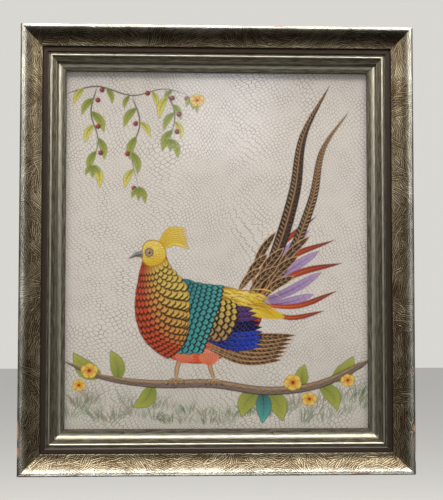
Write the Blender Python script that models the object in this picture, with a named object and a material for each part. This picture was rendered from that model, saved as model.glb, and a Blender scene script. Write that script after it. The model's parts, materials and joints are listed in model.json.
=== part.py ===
"""A ceramic wall plaque in its frame: a glazed tile held by a gilt slip inside a combed, mitred
moulding, closed at the back by a board and hung from a sawtooth hanger.

Metres, +Z up. The picture side faces -Y and the wall side +Y. The origin is the middle of the
hanger's flat wall-side face, which is where a nail in the wall holds the plaque.

A moulding's section is drawn as pairs (inward, height): inward is the distance from the frame's
outer edge towards the picture, and height is the distance from the frame's flat back. A pull is
how far a curve leaves its end along the tangent there.
"""

import math

import bmesh
import bpy
from mathutils import Vector

MM = 0.001

# The tile is the driving size: the slip covers its edge, and the mouldings add their widths.
TILE_WIDTH = 305.0 * MM
TILE_HEIGHT = 358.2 * MM
TILE_THICKNESS = 7.0 * MM
TILE_ARRIS = 0.8 * MM
SIGHT_COVER = 4.9 * MM

# Room left between pieces that lie on each other, beside each other and at the mitres.
CONTACT_GAP = 0.3 * MM
TILE_SIDE_ROOM = 1.0 * MM
MITRE_GAP = 0.3 * MM

# Outer moulding: a round rim, a scoop that falls inwards and flattens to a lip, and a plain fillet.
RIM_WIDTH = 3.6 * MM
RIM_ROUND_HEIGHT = 5.5 * MM
RIM_RISE = 9.55 * MM
SCOOP_WIDTH = 16.0 * MM
SCOOP_SHOULDER = 3.0 * MM
SCOOP_FLOOR = 9.5 * MM
LIP_RADIUS = 1.0 * MM
LIP_START_ANGLE = math.radians(86)
LIP_STEP = 2.25 * MM
FILLET_WIDTH = 4.9 * MM
FILLET_ARRIS = 0.5 * MM
FRAME_LIP_THICKNESS = 3.0 * MM
FRAME_REBATE_WIDTH = 5.6 * MM

# Slip, the inner moulding: a flat edge, a bead, a band that leans inwards, a cove and a sight
# fillet.
SLIP_EDGE_WIDTH = 1.4 * MM
SLIP_EDGE_RISE = 1.2 * MM
BEAD_RADIUS = 1.5 * MM
BAND_WIDTH = 3.75 * MM
BAND_FALL = 1.0 * MM
BAND_BELOW_EDGE = 0.4 * MM
COVE_WIDTH = 5.1 * MM
COVE_FALL = 4.0 * MM
SIGHT_FILLET_WIDTH = 3.35 * MM
SIGHT_FILLET_STEP = 0.7 * MM
SIGHT_EDGE_THICKNESS = 4.6 * MM

# Back: a hardboard sheet held by flat steel points that are driven into the frame.
BOARD_THICKNESS = 2.5 * MM
BOARD_SIDE_ROOM = 0.6 * MM
POINT_LENGTH = 13.0 * MM
POINT_WIDTH = 9.0 * MM
POINT_THICKNESS = 0.8 * MM
POINT_BITE = 5.0 * MM
POINT_SPACING = 190.0 * MM
POINT_BACK_COVER = 1.5 * MM

# Sawtooth hanger: a strip whose toothed middle stands off the wood, nailed at both ends.
HANGER_LENGTH = 52.0 * MM
HANGER_HEIGHT = 9.0 * MM
HANGER_THICKNESS = 1.0 * MM
HANGER_STAND_OFF = 1.4 * MM
HANGER_TAB_LENGTH = 9.0 * MM
HANGER_RAMP_LENGTH = 2.0 * MM
TOOTH_COUNT = 12
TOOTH_DEPTH = 1.5 * MM
NAIL_HEAD_RADIUS = 2.3 * MM
NAIL_HEAD_FLAT_RADIUS = 1.7 * MM
NAIL_HEAD_THICKNESS = 0.7 * MM
NAIL_SHANK_RADIUS = 0.8 * MM
NAIL_LENGTH = 10.0 * MM
NAIL_TIP_LENGTH = 1.6 * MM
NAIL_SIDES = 20

ARC_STEPS = 8
CURVE_STEPS = 14
ROUND = 0.5
MERGE_DISTANCE = 0.01 * MM
FRAME_SHARP_ANGLE = math.radians(35)
NAIL_SHARP_ANGLE = math.radians(40)

# Stations that follow from the sizes above, counted inwards from the frame's outer edge.
SCOOP_END = RIM_WIDTH + SCOOP_WIDTH
LIP_CENTRE = SCOOP_END - LIP_RADIUS * math.cos(LIP_START_ANGLE)
FRAME_FILLET_START = LIP_CENTRE + LIP_RADIUS
FRAME_INNER_EDGE = FRAME_FILLET_START + FILLET_WIDTH
FRAME_REBATE = FRAME_INNER_EDGE - FRAME_REBATE_WIDTH
SLIP_OUTER_EDGE = FRAME_REBATE + CONTACT_GAP
SLIP_SHOWN_EDGE = FRAME_INNER_EDGE + CONTACT_GAP
BEAD_START = SLIP_SHOWN_EDGE + SLIP_EDGE_WIDTH
BAND_START = BEAD_START + 2 * BEAD_RADIUS
COVE_START = BAND_START + BAND_WIDTH
COVE_END = COVE_START + COVE_WIDTH
SIGHT_EDGE = COVE_END + SIGHT_FILLET_WIDTH
TILE_EDGE = SIGHT_EDGE - SIGHT_COVER
SLIP_REBATE = TILE_EDGE - TILE_SIDE_ROOM

# Overall size, and heights above the frame's back.
FRAME_WIDTH = TILE_WIDTH + 2 * TILE_EDGE
FRAME_HEIGHT = TILE_HEIGHT + 2 * TILE_EDGE
BOARD_BACK = POINT_BACK_COVER + POINT_THICKNESS + CONTACT_GAP
BOARD_FRONT = BOARD_BACK + BOARD_THICKNESS
TILE_BACK = BOARD_FRONT + CONTACT_GAP
TILE_FACE = TILE_BACK + TILE_THICKNESS
SLIP_REBATE_HEIGHT = TILE_FACE + CONTACT_GAP
SIGHT_FILLET_HEIGHT = SLIP_REBATE_HEIGHT + SIGHT_EDGE_THICKNESS
COVE_LOW = SIGHT_FILLET_HEIGHT + SIGHT_FILLET_STEP
COVE_HIGH = COVE_LOW + COVE_FALL
BAND_HIGH = COVE_HIGH + BAND_FALL
SLIP_EDGE_HEIGHT = BAND_HIGH + BAND_BELOW_EDGE
FRAME_REBATE_HEIGHT = SLIP_EDGE_HEIGHT - SLIP_EDGE_RISE
FRAME_FILLET_HEIGHT = FRAME_REBATE_HEIGHT + FRAME_LIP_THICKNESS
LIP_CENTRE_HEIGHT = FRAME_FILLET_HEIGHT + LIP_STEP - LIP_RADIUS
FRAME_DEPTH = FRAME_FILLET_HEIGHT + LIP_STEP + RIM_RISE

HANGER_PROUD = CONTACT_GAP + HANGER_STAND_OFF + HANGER_THICKNESS
HANGER_CENTRE = FRAME_REBATE / 2
FRAME_CENTRE_Z = HANGER_CENTRE - FRAME_HEIGHT / 2


def clear_scene():
    for item in list(bpy.data.objects):
        bpy.data.objects.remove(item)


def paint(name, colour, roughness, metallic=0.0):
    """A plain Principled finish."""
    material = bpy.data.materials.new(name)
    material.use_nodes = True
    shader = material.node_tree.nodes["Principled BSDF"]
    shader.inputs["Base Color"].default_value = (*colour, 1.0)
    shader.inputs["Roughness"].default_value = roughness
    shader.inputs["Metallic"].default_value = metallic
    return material


def add_object(name, mesh, material, smooth_angle=None):
    """Turns a bmesh into a named object, with its faces pointing outwards."""
    bmesh.ops.recalc_face_normals(mesh, faces=mesh.faces)
    data = bpy.data.meshes.new(name)
    mesh.to_mesh(data)
    mesh.free()
    if material:
        data.materials.append(material)
    if smooth_angle is not None:
        data.shade_smooth()
        data.set_sharp_from_angle(angle=smooth_angle)
    item = bpy.data.objects.new(name, data)
    bpy.context.scene.collection.objects.link(item)
    return item


def cut(item, cutter):
    """Cuts a hidden cutter out of an object."""
    cutter.hide_render = True
    cutter.display_type = "WIRE"
    boolean = item.modifiers.new("cut_" + cutter.name, "BOOLEAN")
    boolean.operation = "DIFFERENCE"
    boolean.object = cutter


def arc(centre, radii, start, end, steps=ARC_STEPS):
    """Points along an elliptical arc, from one angle to another."""
    turn = end - start
    angles = [start + turn * step / steps for step in range(steps + 1)]
    return [
        (centre[0] + radii[0] * math.cos(angle), centre[1] + radii[1] * math.sin(angle))
        for angle in angles
    ]


def curve(points, steps=CURVE_STEPS):
    """Points along a cubic Bezier curve."""
    places = []
    for step in range(steps + 1):
        t = step / steps
        weights = ((1 - t) ** 3, 3 * t * (1 - t) ** 2, 3 * t * t * (1 - t), t**3)
        places.append(tuple(sum(w * p[axis] for w, p in zip(weights, points)) for axis in (0, 1)))
    return places


def without_repeats(points):
    """The section's points with each that repeats the one before it left out."""
    kept = []
    for point in points:
        if not kept or math.dist(point, kept[-1]) > MERGE_DISTANCE:
            kept.append(point)
    return kept


def frame_section():
    """The outer moulding, from its back corner over the rim to its rebate."""
    lip_radii = (LIP_RADIUS, LIP_RADIUS)
    lip = arc((LIP_CENTRE, LIP_CENTRE_HEIGHT), lip_radii, LIP_START_ANGLE, 0.0)
    rise = (math.sin(LIP_START_ANGLE), -math.cos(LIP_START_ANGLE))
    floor = (lip[0][0] - SCOOP_FLOOR * rise[0], lip[0][1] - SCOOP_FLOOR * rise[1])
    rim_radii = (RIM_WIDTH, RIM_ROUND_HEIGHT)
    points = [(0.0, 0.0)]
    points += arc((RIM_WIDTH, FRAME_DEPTH - RIM_ROUND_HEIGHT), rim_radii, math.pi, math.pi / 2)
    points += curve(
        ((RIM_WIDTH, FRAME_DEPTH), (RIM_WIDTH + SCOOP_SHOULDER, FRAME_DEPTH), floor, lip[0])
    )
    points += lip
    points += [
        (FRAME_FILLET_START, FRAME_FILLET_HEIGHT),
        (FRAME_INNER_EDGE - FILLET_ARRIS, FRAME_FILLET_HEIGHT),
        (FRAME_INNER_EDGE, FRAME_FILLET_HEIGHT - FILLET_ARRIS),
        (FRAME_INNER_EDGE, FRAME_REBATE_HEIGHT),
        (FRAME_REBATE, FRAME_REBATE_HEIGHT),
        (FRAME_REBATE, 0.0),
    ]
    return without_repeats(points)


def slip_section():
    """The inner moulding, from its back corner under the frame's lip to the tile's rebate."""
    flange_top = FRAME_REBATE_HEIGHT - CONTACT_GAP
    bead_centre = (BEAD_START + BEAD_RADIUS, SLIP_EDGE_HEIGHT)
    points = [
        (SLIP_OUTER_EDGE, TILE_BACK),
        (SLIP_OUTER_EDGE, flange_top),
        (SLIP_SHOWN_EDGE, flange_top),
        (SLIP_SHOWN_EDGE, SLIP_EDGE_HEIGHT),
    ]
    points += arc(bead_centre, (BEAD_RADIUS, BEAD_RADIUS), math.pi, 0.0)
    points += [(BAND_START, BAND_HIGH)]
    points += arc((COVE_END, COVE_HIGH), (COVE_WIDTH, COVE_FALL), math.pi, 1.5 * math.pi, CURVE_STEPS)
    points += [
        (COVE_END, SIGHT_FILLET_HEIGHT),
        (SIGHT_EDGE, SIGHT_FILLET_HEIGHT),
        (SIGHT_EDGE, SLIP_REBATE_HEIGHT),
        (SLIP_REBATE, SLIP_REBATE_HEIGHT),
        (SLIP_REBATE, TILE_BACK),
    ]
    return without_repeats(points)


def place(side, along, inward, height):
    """A point on one side of the frame, in the model's own frame."""
    across = {"top": 1, "bottom": -1, "left": -1, "right": 1}[side]
    y = -HANGER_PROUD - height
    if side in ("top", "bottom"):
        return Vector((along, y, FRAME_CENTRE_Z + across * (FRAME_HEIGHT / 2 - inward)))
    return Vector((across * (FRAME_WIDTH / 2 - inward), y, FRAME_CENTRE_Z + along))


def side_length(side):
    return FRAME_WIDTH if side in ("top", "bottom") else FRAME_HEIGHT


def rail(name, section, side, material):
    """One length of moulding, mitred at both ends."""
    mesh = bmesh.new()
    end_trim = MITRE_GAP / math.sqrt(2)
    loops = []
    for way in (-1, 1):
        loops.append(
            [
                mesh.verts.new(
                    place(side, way * (side_length(side) / 2 - inward - end_trim), inward, height)
                )
                for inward, height in section
            ]
        )
    count = len(section)
    for index in range(count):
        following = (index + 1) % count
        mesh.faces.new(
            (loops[0][index], loops[0][following], loops[1][following], loops[1][index])
        )
    mesh.faces.new(loops[0])
    mesh.faces.new(loops[1])
    bmesh.ops.triangulate(mesh, faces=[face for face in mesh.faces if len(face.verts) > 4])
    return add_object(name, mesh, material, FRAME_SHARP_ANGLE)


def block(name, low, high, material=None, bevel=0.0):
    """A box between two corners, with its edges rounded over if a width is given."""
    mesh = bmesh.new()
    bmesh.ops.create_cube(mesh, size=1.0)
    centre = (low + high) / 2
    size = high - low
    for vertex in mesh.verts:
        vertex.co = Vector([centre[axis] + vertex.co[axis] * size[axis] for axis in range(3)])
    if bevel:
        bmesh.ops.bevel(
            mesh, geom=list(mesh.edges), offset=bevel, segments=2, profile=ROUND, affect="EDGES"
        )
    return add_object(name, mesh, material)


def slab(name, inward, back, front, material, bevel=0.0):
    """A sheet parallel to the wall, whose edge lies a given distance inside the frame's."""
    low = Vector(
        (
            -FRAME_WIDTH / 2 + inward,
            -HANGER_PROUD - front,
            FRAME_CENTRE_Z - FRAME_HEIGHT / 2 + inward,
        )
    )
    high = Vector(
        (
            FRAME_WIDTH / 2 - inward,
            -HANGER_PROUD - back,
            FRAME_CENTRE_Z + FRAME_HEIGHT / 2 - inward,
        )
    )
    return block(name, low, high, material, bevel)


def between(side, along, width, inward, height):
    """The lowest and highest corner of a box on one side of the frame."""
    first = place(side, along - width / 2, inward[0], height[0])
    second = place(side, along + width / 2, inward[1], height[1])
    low = Vector([min(first[axis], second[axis]) for axis in range(3)])
    high = Vector([max(first[axis], second[axis]) for axis in range(3)])
    return low, high


def add_points(rails, material):
    """Two flat steel points on each side, each in its own slot in the frame."""
    inward = (FRAME_REBATE - POINT_BITE, FRAME_REBATE - POINT_BITE + POINT_LENGTH)
    height = (POINT_BACK_COVER, POINT_BACK_COVER + POINT_THICKNESS)
    for side, item in rails.items():
        for number, way in enumerate((-1, 1), start=1):
            along = way * POINT_SPACING / 2
            low, high = between(side, along, POINT_WIDTH, inward, height)
            block(f"framing_point_{side}_{number}", low, high, material)
            slot_inward = (inward[0] - CONTACT_GAP, FRAME_REBATE + CONTACT_GAP)
            slot_height = (height[0] - CONTACT_GAP, height[1] + CONTACT_GAP)
            slot_width = POINT_WIDTH + 2 * CONTACT_GAP
            low, high = between(side, along, slot_width, slot_inward, slot_height)
            cut(item, block(f"slot_{side}_{number}", low, high))


def cylinder(name, centre, radius, front, back, material=None):
    """A round bar along Y, between two depths."""
    mesh = bmesh.new()
    bmesh.ops.create_cone(
        mesh, cap_ends=True, segments=NAIL_SIDES, radius1=radius, radius2=radius, depth=back - front
    )
    for vertex in mesh.verts:
        x, y, z = vertex.co
        vertex.co = Vector((centre[0] + x, (front + back) / 2 + z, centre[1] - y))
    return add_object(name, mesh, material, NAIL_SHARP_ANGLE)


def turn_profile(mesh, outline, centre):
    """A turned solid about an axis along Y, from (radius, depth) pairs that start and end on it."""
    rings = []
    for radius, y in outline:
        if radius == 0.0:
            rings.append([mesh.verts.new((centre[0], y, centre[1]))])
            continue
        ring = []
        for side in range(NAIL_SIDES):
            angle = 2 * math.pi * side / NAIL_SIDES
            x = centre[0] + radius * math.cos(angle)
            z = centre[1] + radius * math.sin(angle)
            ring.append(mesh.verts.new((x, y, z)))
        rings.append(ring)
    for ring, following in zip(rings, rings[1:]):
        for index in range(NAIL_SIDES):
            after = (index + 1) % NAIL_SIDES
            corners = [ring[index % len(ring)], ring[after % len(ring)]]
            corners += [following[after % len(following)], following[index % len(following)]]
            mesh.faces.new(list(dict.fromkeys(corners)))


def hanger_stations():
    """The strip's stations along X, each with its stand-off and its lower edge's notch."""
    middle = HANGER_LENGTH / 2 - HANGER_TAB_LENGTH - HANGER_RAMP_LENGTH
    stations = [(-HANGER_LENGTH / 2, 0.0, 0.0), (-HANGER_LENGTH / 2 + HANGER_TAB_LENGTH, 0.0, 0.0)]
    for tooth in range(TOOTH_COUNT * 2 + 1):
        x = -middle + tooth * middle / TOOTH_COUNT
        stations.append((x, HANGER_STAND_OFF, TOOTH_DEPTH * (tooth % 2)))
    stations += [(-x, rise, notch) for x, rise, notch in reversed(stations[:2])]
    return stations


def add_hanger(top_rail, material):
    """The toothed strip, and a nail through each of its end tabs into the top rail."""
    mesh = bmesh.new()
    half = HANGER_HEIGHT / 2
    front = -HANGER_PROUD + CONTACT_GAP
    rings = []
    for x, rise, notch in hanger_stations():
        near, far = front + rise, front + rise + HANGER_THICKNESS
        corners = ((near, notch - half), (far, notch - half), (far, half), (near, half))
        rings.append([mesh.verts.new((x, y, z)) for y, z in corners])
    for ring, following in zip(rings, rings[1:]):
        for index in range(4):
            after = (index + 1) % 4
            mesh.faces.new((ring[index], ring[after], following[after], following[index]))
    mesh.faces.new(rings[0])
    mesh.faces.new(rings[-1])
    hanger = add_object("sawtooth_hanger", mesh, material)
    tab_face = front + HANGER_THICKNESS
    for side, way in (("left", -1), ("right", 1)):
        centre = (way * (HANGER_LENGTH - HANGER_TAB_LENGTH) / 2, 0.0)
        head = tab_face + CONTACT_GAP
        point = head - NAIL_LENGTH
        nail = bmesh.new()
        outline = (
            (0.0, point),
            (NAIL_SHANK_RADIUS, point + NAIL_TIP_LENGTH),
            (NAIL_SHANK_RADIUS, head),
            (NAIL_HEAD_RADIUS, head),
            (NAIL_HEAD_FLAT_RADIUS, head + NAIL_HEAD_THICKNESS),
            (0.0, head + NAIL_HEAD_THICKNESS),
        )
        turn_profile(nail, outline, centre)
        add_object(f"hanger_nail_{side}", nail, material, NAIL_SHARP_ANGLE)
        room = NAIL_SHANK_RADIUS + CONTACT_GAP
        past_face = HANGER_STAND_OFF
        bore_end = point - CONTACT_GAP
        cut(top_rail, cylinder(f"rail_bore_{side}", centre, room, bore_end, front + past_face))
        cut(hanger, cylinder(f"tab_bore_{side}", centre, room, front - past_face, head + past_face))


def main():
    clear_scene()
    leaf = paint("champagne_leaf", (0.42, 0.37, 0.27), 0.38, 0.9)
    slip_leaf = paint("smooth_silver_gilt", (0.45, 0.40, 0.31), 0.28, 0.9)
    glaze = paint("crackle_glaze", (0.62, 0.57, 0.50), 0.12)
    hardboard = paint("hardboard", (0.25, 0.15, 0.08), 0.8)
    steel = paint("zinc_plated_steel", (0.55, 0.55, 0.56), 0.35, 1.0)

    frame_rails = {}
    for side in ("top", "bottom", "left", "right"):
        frame_rails[side] = rail(f"frame_rail_{side}", frame_section(), side, leaf)
        rail(f"slip_rail_{side}", slip_section(), side, slip_leaf)
    slab("ceramic_plaque", TILE_EDGE, TILE_BACK, TILE_FACE, glaze, TILE_ARRIS)
    board_edge = FRAME_REBATE + BOARD_SIDE_ROOM
    slab("backing_board", board_edge, BOARD_BACK, BOARD_FRONT, hardboard)
    add_points(frame_rails, steel)
    add_hanger(frame_rails["top"], steel)


main()
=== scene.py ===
"""Looks of a glazed, painted and crackled tile in its combed champagne-leaf frame.

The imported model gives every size. Each piece here is built on the nodes of that frame, in metres,
with +Z up, the picture facing -Y and the wall side facing +Y.

A moulding is worked out in two directions: along its rail, and across it, from the back outer
corner over the rim to the picture. A point of its section is a pair (inward, height): inward is
counted from the frame's outer edge, and height from the frame's flat back. The painting is worked
out in millimetres from the tile's middle, u to the right and v up.
"""

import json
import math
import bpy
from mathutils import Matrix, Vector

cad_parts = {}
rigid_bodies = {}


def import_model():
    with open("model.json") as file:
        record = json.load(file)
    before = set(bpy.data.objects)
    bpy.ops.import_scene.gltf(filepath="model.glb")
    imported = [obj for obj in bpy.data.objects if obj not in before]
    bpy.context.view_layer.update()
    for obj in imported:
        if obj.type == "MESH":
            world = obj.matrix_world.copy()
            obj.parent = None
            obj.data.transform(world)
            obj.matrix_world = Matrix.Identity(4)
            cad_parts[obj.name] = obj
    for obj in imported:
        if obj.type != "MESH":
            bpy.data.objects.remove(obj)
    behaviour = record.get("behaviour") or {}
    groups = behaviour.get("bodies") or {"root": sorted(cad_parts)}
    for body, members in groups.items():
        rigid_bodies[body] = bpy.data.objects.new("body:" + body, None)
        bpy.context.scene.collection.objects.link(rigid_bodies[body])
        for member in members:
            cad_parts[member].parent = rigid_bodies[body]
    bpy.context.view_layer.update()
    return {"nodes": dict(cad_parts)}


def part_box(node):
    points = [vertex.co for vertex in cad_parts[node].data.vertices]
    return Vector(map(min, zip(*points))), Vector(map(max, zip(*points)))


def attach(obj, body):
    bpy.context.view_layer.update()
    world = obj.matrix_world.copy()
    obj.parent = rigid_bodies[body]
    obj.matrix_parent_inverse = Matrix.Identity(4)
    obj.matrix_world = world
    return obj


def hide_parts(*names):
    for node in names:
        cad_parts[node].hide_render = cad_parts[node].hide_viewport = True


bl_info = {
    "name": "Framed ceramic plaque",
    "version": (1, 0, 0),
    "blender": (4, 5, 0),
    "location": "3D View > Sidebar > Plaque",
    "description": "Combed and gilded mouldings, a painted crackle-glazed tile and its plain back",
    "category": "Add Mesh",
}

import bmesh
import bpy
import numpy as np
from mathutils import Quaternion, Vector

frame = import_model()
MM = 0.001
SIDES = ("top", "bottom", "left", "right")

# Places that follow from the frame
OUTER_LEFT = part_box("frame_rail_left")[0].x
OUTER_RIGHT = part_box("frame_rail_right")[1].x
OUTER_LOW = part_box("frame_rail_bottom")[0].z
OUTER_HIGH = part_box("frame_rail_top")[1].z
BACK_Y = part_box("frame_rail_top")[1].y
RIM_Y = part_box("frame_rail_top")[0].y
FRAME_WIDTH = OUTER_RIGHT - OUTER_LEFT
FRAME_HEIGHT = OUTER_HIGH - OUTER_LOW
CENTRE_Z = (OUTER_LOW + OUTER_HIGH) / 2

# Each rail's end stops this far short of the mitre line, in mm along the rail
MITRE_TRIM = (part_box("frame_rail_top")[0].x - OUTER_LEFT) / MM

# Distances in mm between the points of a moulding, where it shows, elsewhere, and along it
OUTER_ROWS, OUTER_PLAIN_ROWS, OUTER_COLUMNS = 0.5, 3.0, 0.52
SLIP_ROWS, SLIP_PLAIN_ROWS, SLIP_COLUMNS = 0.45, 2.5, 1.6

# The finishes of a moulding, by material slot
LEAF, BOLE, BARE = 0, 1, 2


def from_hex(text):
    """An sRGB hex colour as linear red, green and blue."""
    values = [int(text[place : place + 2], 16) / 255 for place in (1, 3, 5)]
    return tuple(v / 12.92 if v <= 0.04045 else ((v + 0.055) / 1.055) ** 2.4 for v in values)


def colour_property(name, description, text):
    default = from_hex(text)
    return bpy.props.FloatVectorProperty(
        name=name, description=description, subtype="COLOR", size=3, min=0, max=1, default=default
    )


def length_property(name, description, default):
    return bpy.props.FloatProperty(
        name=name, description=description, unit="LENGTH", precision=5, min=0, default=default
    )


class MouldingSettings(bpy.types.PropertyGroup):
    """The outer moulding's combed gesso and its leaf."""

    comb_spacing: length_property("Comb spacing", "Distance between two combed strokes", 1.8 * MM)
    comb_depth: length_property("Comb depth", "Height of a combed ridge over its groove", 0.3 * MM)
    patch_length: length_property("Patch length", "Length of rail combed in one direction", 34 * MM)
    leaf: colour_property("Leaf", "Silver leaf rubbed bright on the rim", "#d6d3c6")
    varnish: colour_property("Varnish", "Leaf under amber varnish in the scoop", "#b0a78c")
    toning: colour_property("Toning", "Umber wax left in the hollows", "#3c2d1c")
    fillet: colour_property("Fillet", "Dark bole on the plain fillet", "#33281e")
    brushed: colour_property("Brush marks", "Darker marks of the brush in the bole", "#352b24")
    # A painted highlight along the plain fillet's inner edge
    arris_highlight: colour_property("Arris", "Rubbed edge of the plain fillet", "#504647")
    bare: colour_property("Bare wood", "Wood and orange clay where the leaf is gone", "#ad7440")
    clay: colour_property("Red clay", "Red clay showing through rubbed leaf", "#6e443b")
    wood: colour_property("Back wood", "Sawn wood at the back and the mitres", "#b08a5c")


class SlipSettings(bpy.types.PropertyGroup):
    """The inner moulding's smooth leaf."""

    leaf: colour_property("Leaf", "Smooth silver leaf under a thin varnish", "#c9c5b2")
    # Laid in random wax streaks and grains, and also as painted shade in bands over the flats, cove
    # and sight fillet
    toning: colour_property("Toning", "Thin dark wax on the flats", "#4a402f")
    waviness: length_property("Waviness", "Unevenness of the gesso under the leaf", 0.06 * MM)


class GlazeSettings(bpy.types.PropertyGroup):
    """The tile's crackle glaze."""

    ground: colour_property("Ground", "Cream glaze over a pale body", "#ddd3c8")
    cool: colour_property("Cool ground", "Cooler clouds in the glaze", "#d3cdc6")
    crack: colour_property("Crack", "Stain drawn into the cracks", "#786c60")
    meadow: colour_property("Meadow", "Grey-green wash behind the grass", "#a9ac93")
    biscuit: colour_property("Biscuit", "Unglazed back of the tile", "#cdb9a0")
    cell: length_property("Cell size", "Width of one cell of the crackle", 3.3 * MM)
    crack_width: length_property("Crack width", "Width of a stained crack", 0.32 * MM)
    bevel: length_property("Edge bevel", "Softened edge of the tile", 0.8 * MM)
    paint_spacing: length_property("Paint spacing", "Between two painted points", 0.64 * MM)
    paint_tolerance: bpy.props.FloatProperty(
        name="Paint tolerance",
        description="Change of colour that one large cell may hold",
        default=0.024,
    )


class BackSettings(bpy.types.PropertyGroup):
    """The board and the steel fittings behind the tile."""

    board: colour_property("Board", "Pressed hardboard", "#6d4a2c")
    steel: colour_property("Steel", "Bright zinc plating", "#b9bcc0")


class StageSettings(bpy.types.PropertyGroup):
    """The camera, the lights and the floor."""

    lens: bpy.props.FloatProperty(
        name="Lens", description="Focal length on a 36 mm long side", unit="CAMERA", default=72.0
    )
    distance: length_property("Camera distance", "From the rim's plane to the camera", 0.95326)
    floor: colour_property("Floor", "Pale painted floor", "#d9d7d2")
    drop: length_property("Floor drop", "From the frame's lower edge down to the floor", 0.35)


def add_node(tree, kind, *inputs, links=None, **settings):
    """Adds a node and gives its outputs.

    Its first inputs are given in order and others by key, each a socket to read or a plain value.
    A MapRange reads a value, the range that it comes from and the range that it goes to. A colour
    Mix reads its share, and its two colours by the keys 6 and 7, and gives its colour as output 2.
    """
    node = tree.nodes.new("ShaderNode" + kind)
    for key, value in settings.items():
        setattr(node, key, value)
    for key, value in (*enumerate(inputs), *(links or {}).items()):
        socket = node.inputs[key]
        if isinstance(value, bpy.types.NodeSocket):
            tree.links.new(value, socket)
        elif socket.type == "RGBA":
            socket.default_value = (*value[:3], 1.0)
        else:
            socket.default_value = value
    return node.outputs


def new_material(name):
    """A material with an empty node tree."""
    material = bpy.data.materials.new(name)
    material.use_nodes = True
    material.node_tree.nodes.clear()
    return material, material.node_tree


def lattice_noise(x, y, seed):
    """Smooth noise from 0 to 1 over the plane, with one value for each unit cell's corner."""
    column, row = np.floor(x).astype(np.int64), np.floor(y).astype(np.int64)
    fx, fy = x - column, y - row
    fx, fy = fx * fx * (3 - 2 * fx), fy * fy * (3 - 2 * fy)

    def corner(i, j):
        mixed = (i * 374761393 + j * 668265263 + seed * 982451653) & 0xFFFFFFFF
        mixed = ((mixed ^ (mixed >> 13)) * 1274126177) & 0xFFFFFFFF
        return ((mixed ^ (mixed >> 16)) & 0xFFFF) / 65535.0

    low = corner(column, row) * (1 - fx) + corner(column + 1, row) * fx
    high = corner(column, row + 1) * (1 - fx) + corner(column + 1, row + 1) * fx
    return low * (1 - fy) + high * fy


def smooth_step(low, high, value):
    t = np.clip((value - low) / (high - low), 0, 1)
    return t * t * (3 - 2 * t)


def end_section(node):
    """The section of a rail along X: its end face's corners as (inward, height) in mm, in order.

    It starts at the back outer corner, and goes up the outer side and over to the picture.
    """
    mesh = bmesh.new()
    mesh.from_mesh(frame["nodes"][node].data)
    bmesh.ops.remove_doubles(mesh, verts=mesh.verts, dist=0.005 * MM)
    bmesh.ops.dissolve_limit(mesh, angle_limit=math.radians(1), verts=mesh.verts, edges=mesh.edges)
    # The left end is cut at 45 degrees, so its face looks to the left and along the picture
    ends = [face for face in mesh.faces if face.normal.x < -0.6 and abs(face.normal.y) < 0.1]
    end = max(ends, key=lambda face: face.calc_area())
    points = [((v.co.z - OUTER_LOW) / MM, (BACK_Y - v.co.y) / MM) for v in end.verts]
    mesh.free()
    area = sum(a[0] * b[1] - b[0] * a[1] for a, b in zip(points, points[1:] + points[:1]))
    if area > 0:
        points.reverse()
    first = min(range(len(points)), key=lambda index: points[index][0] + points[index][1])
    return points[first:] + points[:first]


def smooth_rows(points, step_at):
    """The section as close rows of points, curved along its arcs and straight elsewhere.

    step_at gives the row spacing at a place in the section. The result is an array of
    (inward, height) and the indexes of the rows that are sharp corners.
    """
    points = np.array(points)
    legs = np.roll(points, -1, axis=0) - points
    lengths = np.hypot(legs[:, 0], legs[:, 1])
    ways = legs / lengths[:, None]
    # A turn of more than 33 degrees is a sharp corner, and a leg longer than 3.2 mm is straight
    corner_cosine = math.cos(math.radians(33))
    long_leg = 3.2

    def direction(index, other, length):
        """The curve's direction where the leg at index meets the other leg."""
        if float(ways[other] @ ways[index]) < corner_cosine:
            return ways[index] * length
        if lengths[other] > long_leg:
            return ways[other] * length
        mixed = ways[other] * length + ways[index] * lengths[other]
        return mixed / np.hypot(*mixed) * length

    rows, sharp = [], []
    for index in range(len(points)):
        before, after = index - 1, (index + 1) % len(points)
        start, end, length = points[index], points[after], lengths[index]
        if float(ways[before] @ ways[index]) < corner_cosine:
            sharp.append(len(rows))
        straight = length > long_leg
        leave = ways[index] * length if straight else direction(index, before, length)
        arrive = ways[index] * length if straight else direction(index, after, length)
        steps = max(1, round(length / step_at((start + end) / 2)))
        for step in range(steps):
            t = step / steps
            rows.append(
                start * (2 * t**3 - 3 * t**2 + 1)
                + leave * (t**3 - 2 * t**2 + t)
                + end * (3 * t**2 - 2 * t**3)
                + arrive * (t**3 - t**2)
            )
    return np.array(rows), sharp


def side_place(side, along, inward, height):
    """World places for mm along a rail, inward from its outer edge, and off the frame's back."""
    x, z = {
        "top": (OUTER_LEFT + along * MM, OUTER_HIGH - inward * MM),
        "bottom": (OUTER_LEFT + along * MM, OUTER_LOW + inward * MM),
        "left": (OUTER_LEFT + inward * MM, OUTER_LOW + along * MM),
        "right": (OUTER_RIGHT - inward * MM, OUTER_LOW + along * MM),
    }[side]
    return np.stack([x, BACK_Y - height * MM, z], axis=-1)


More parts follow.
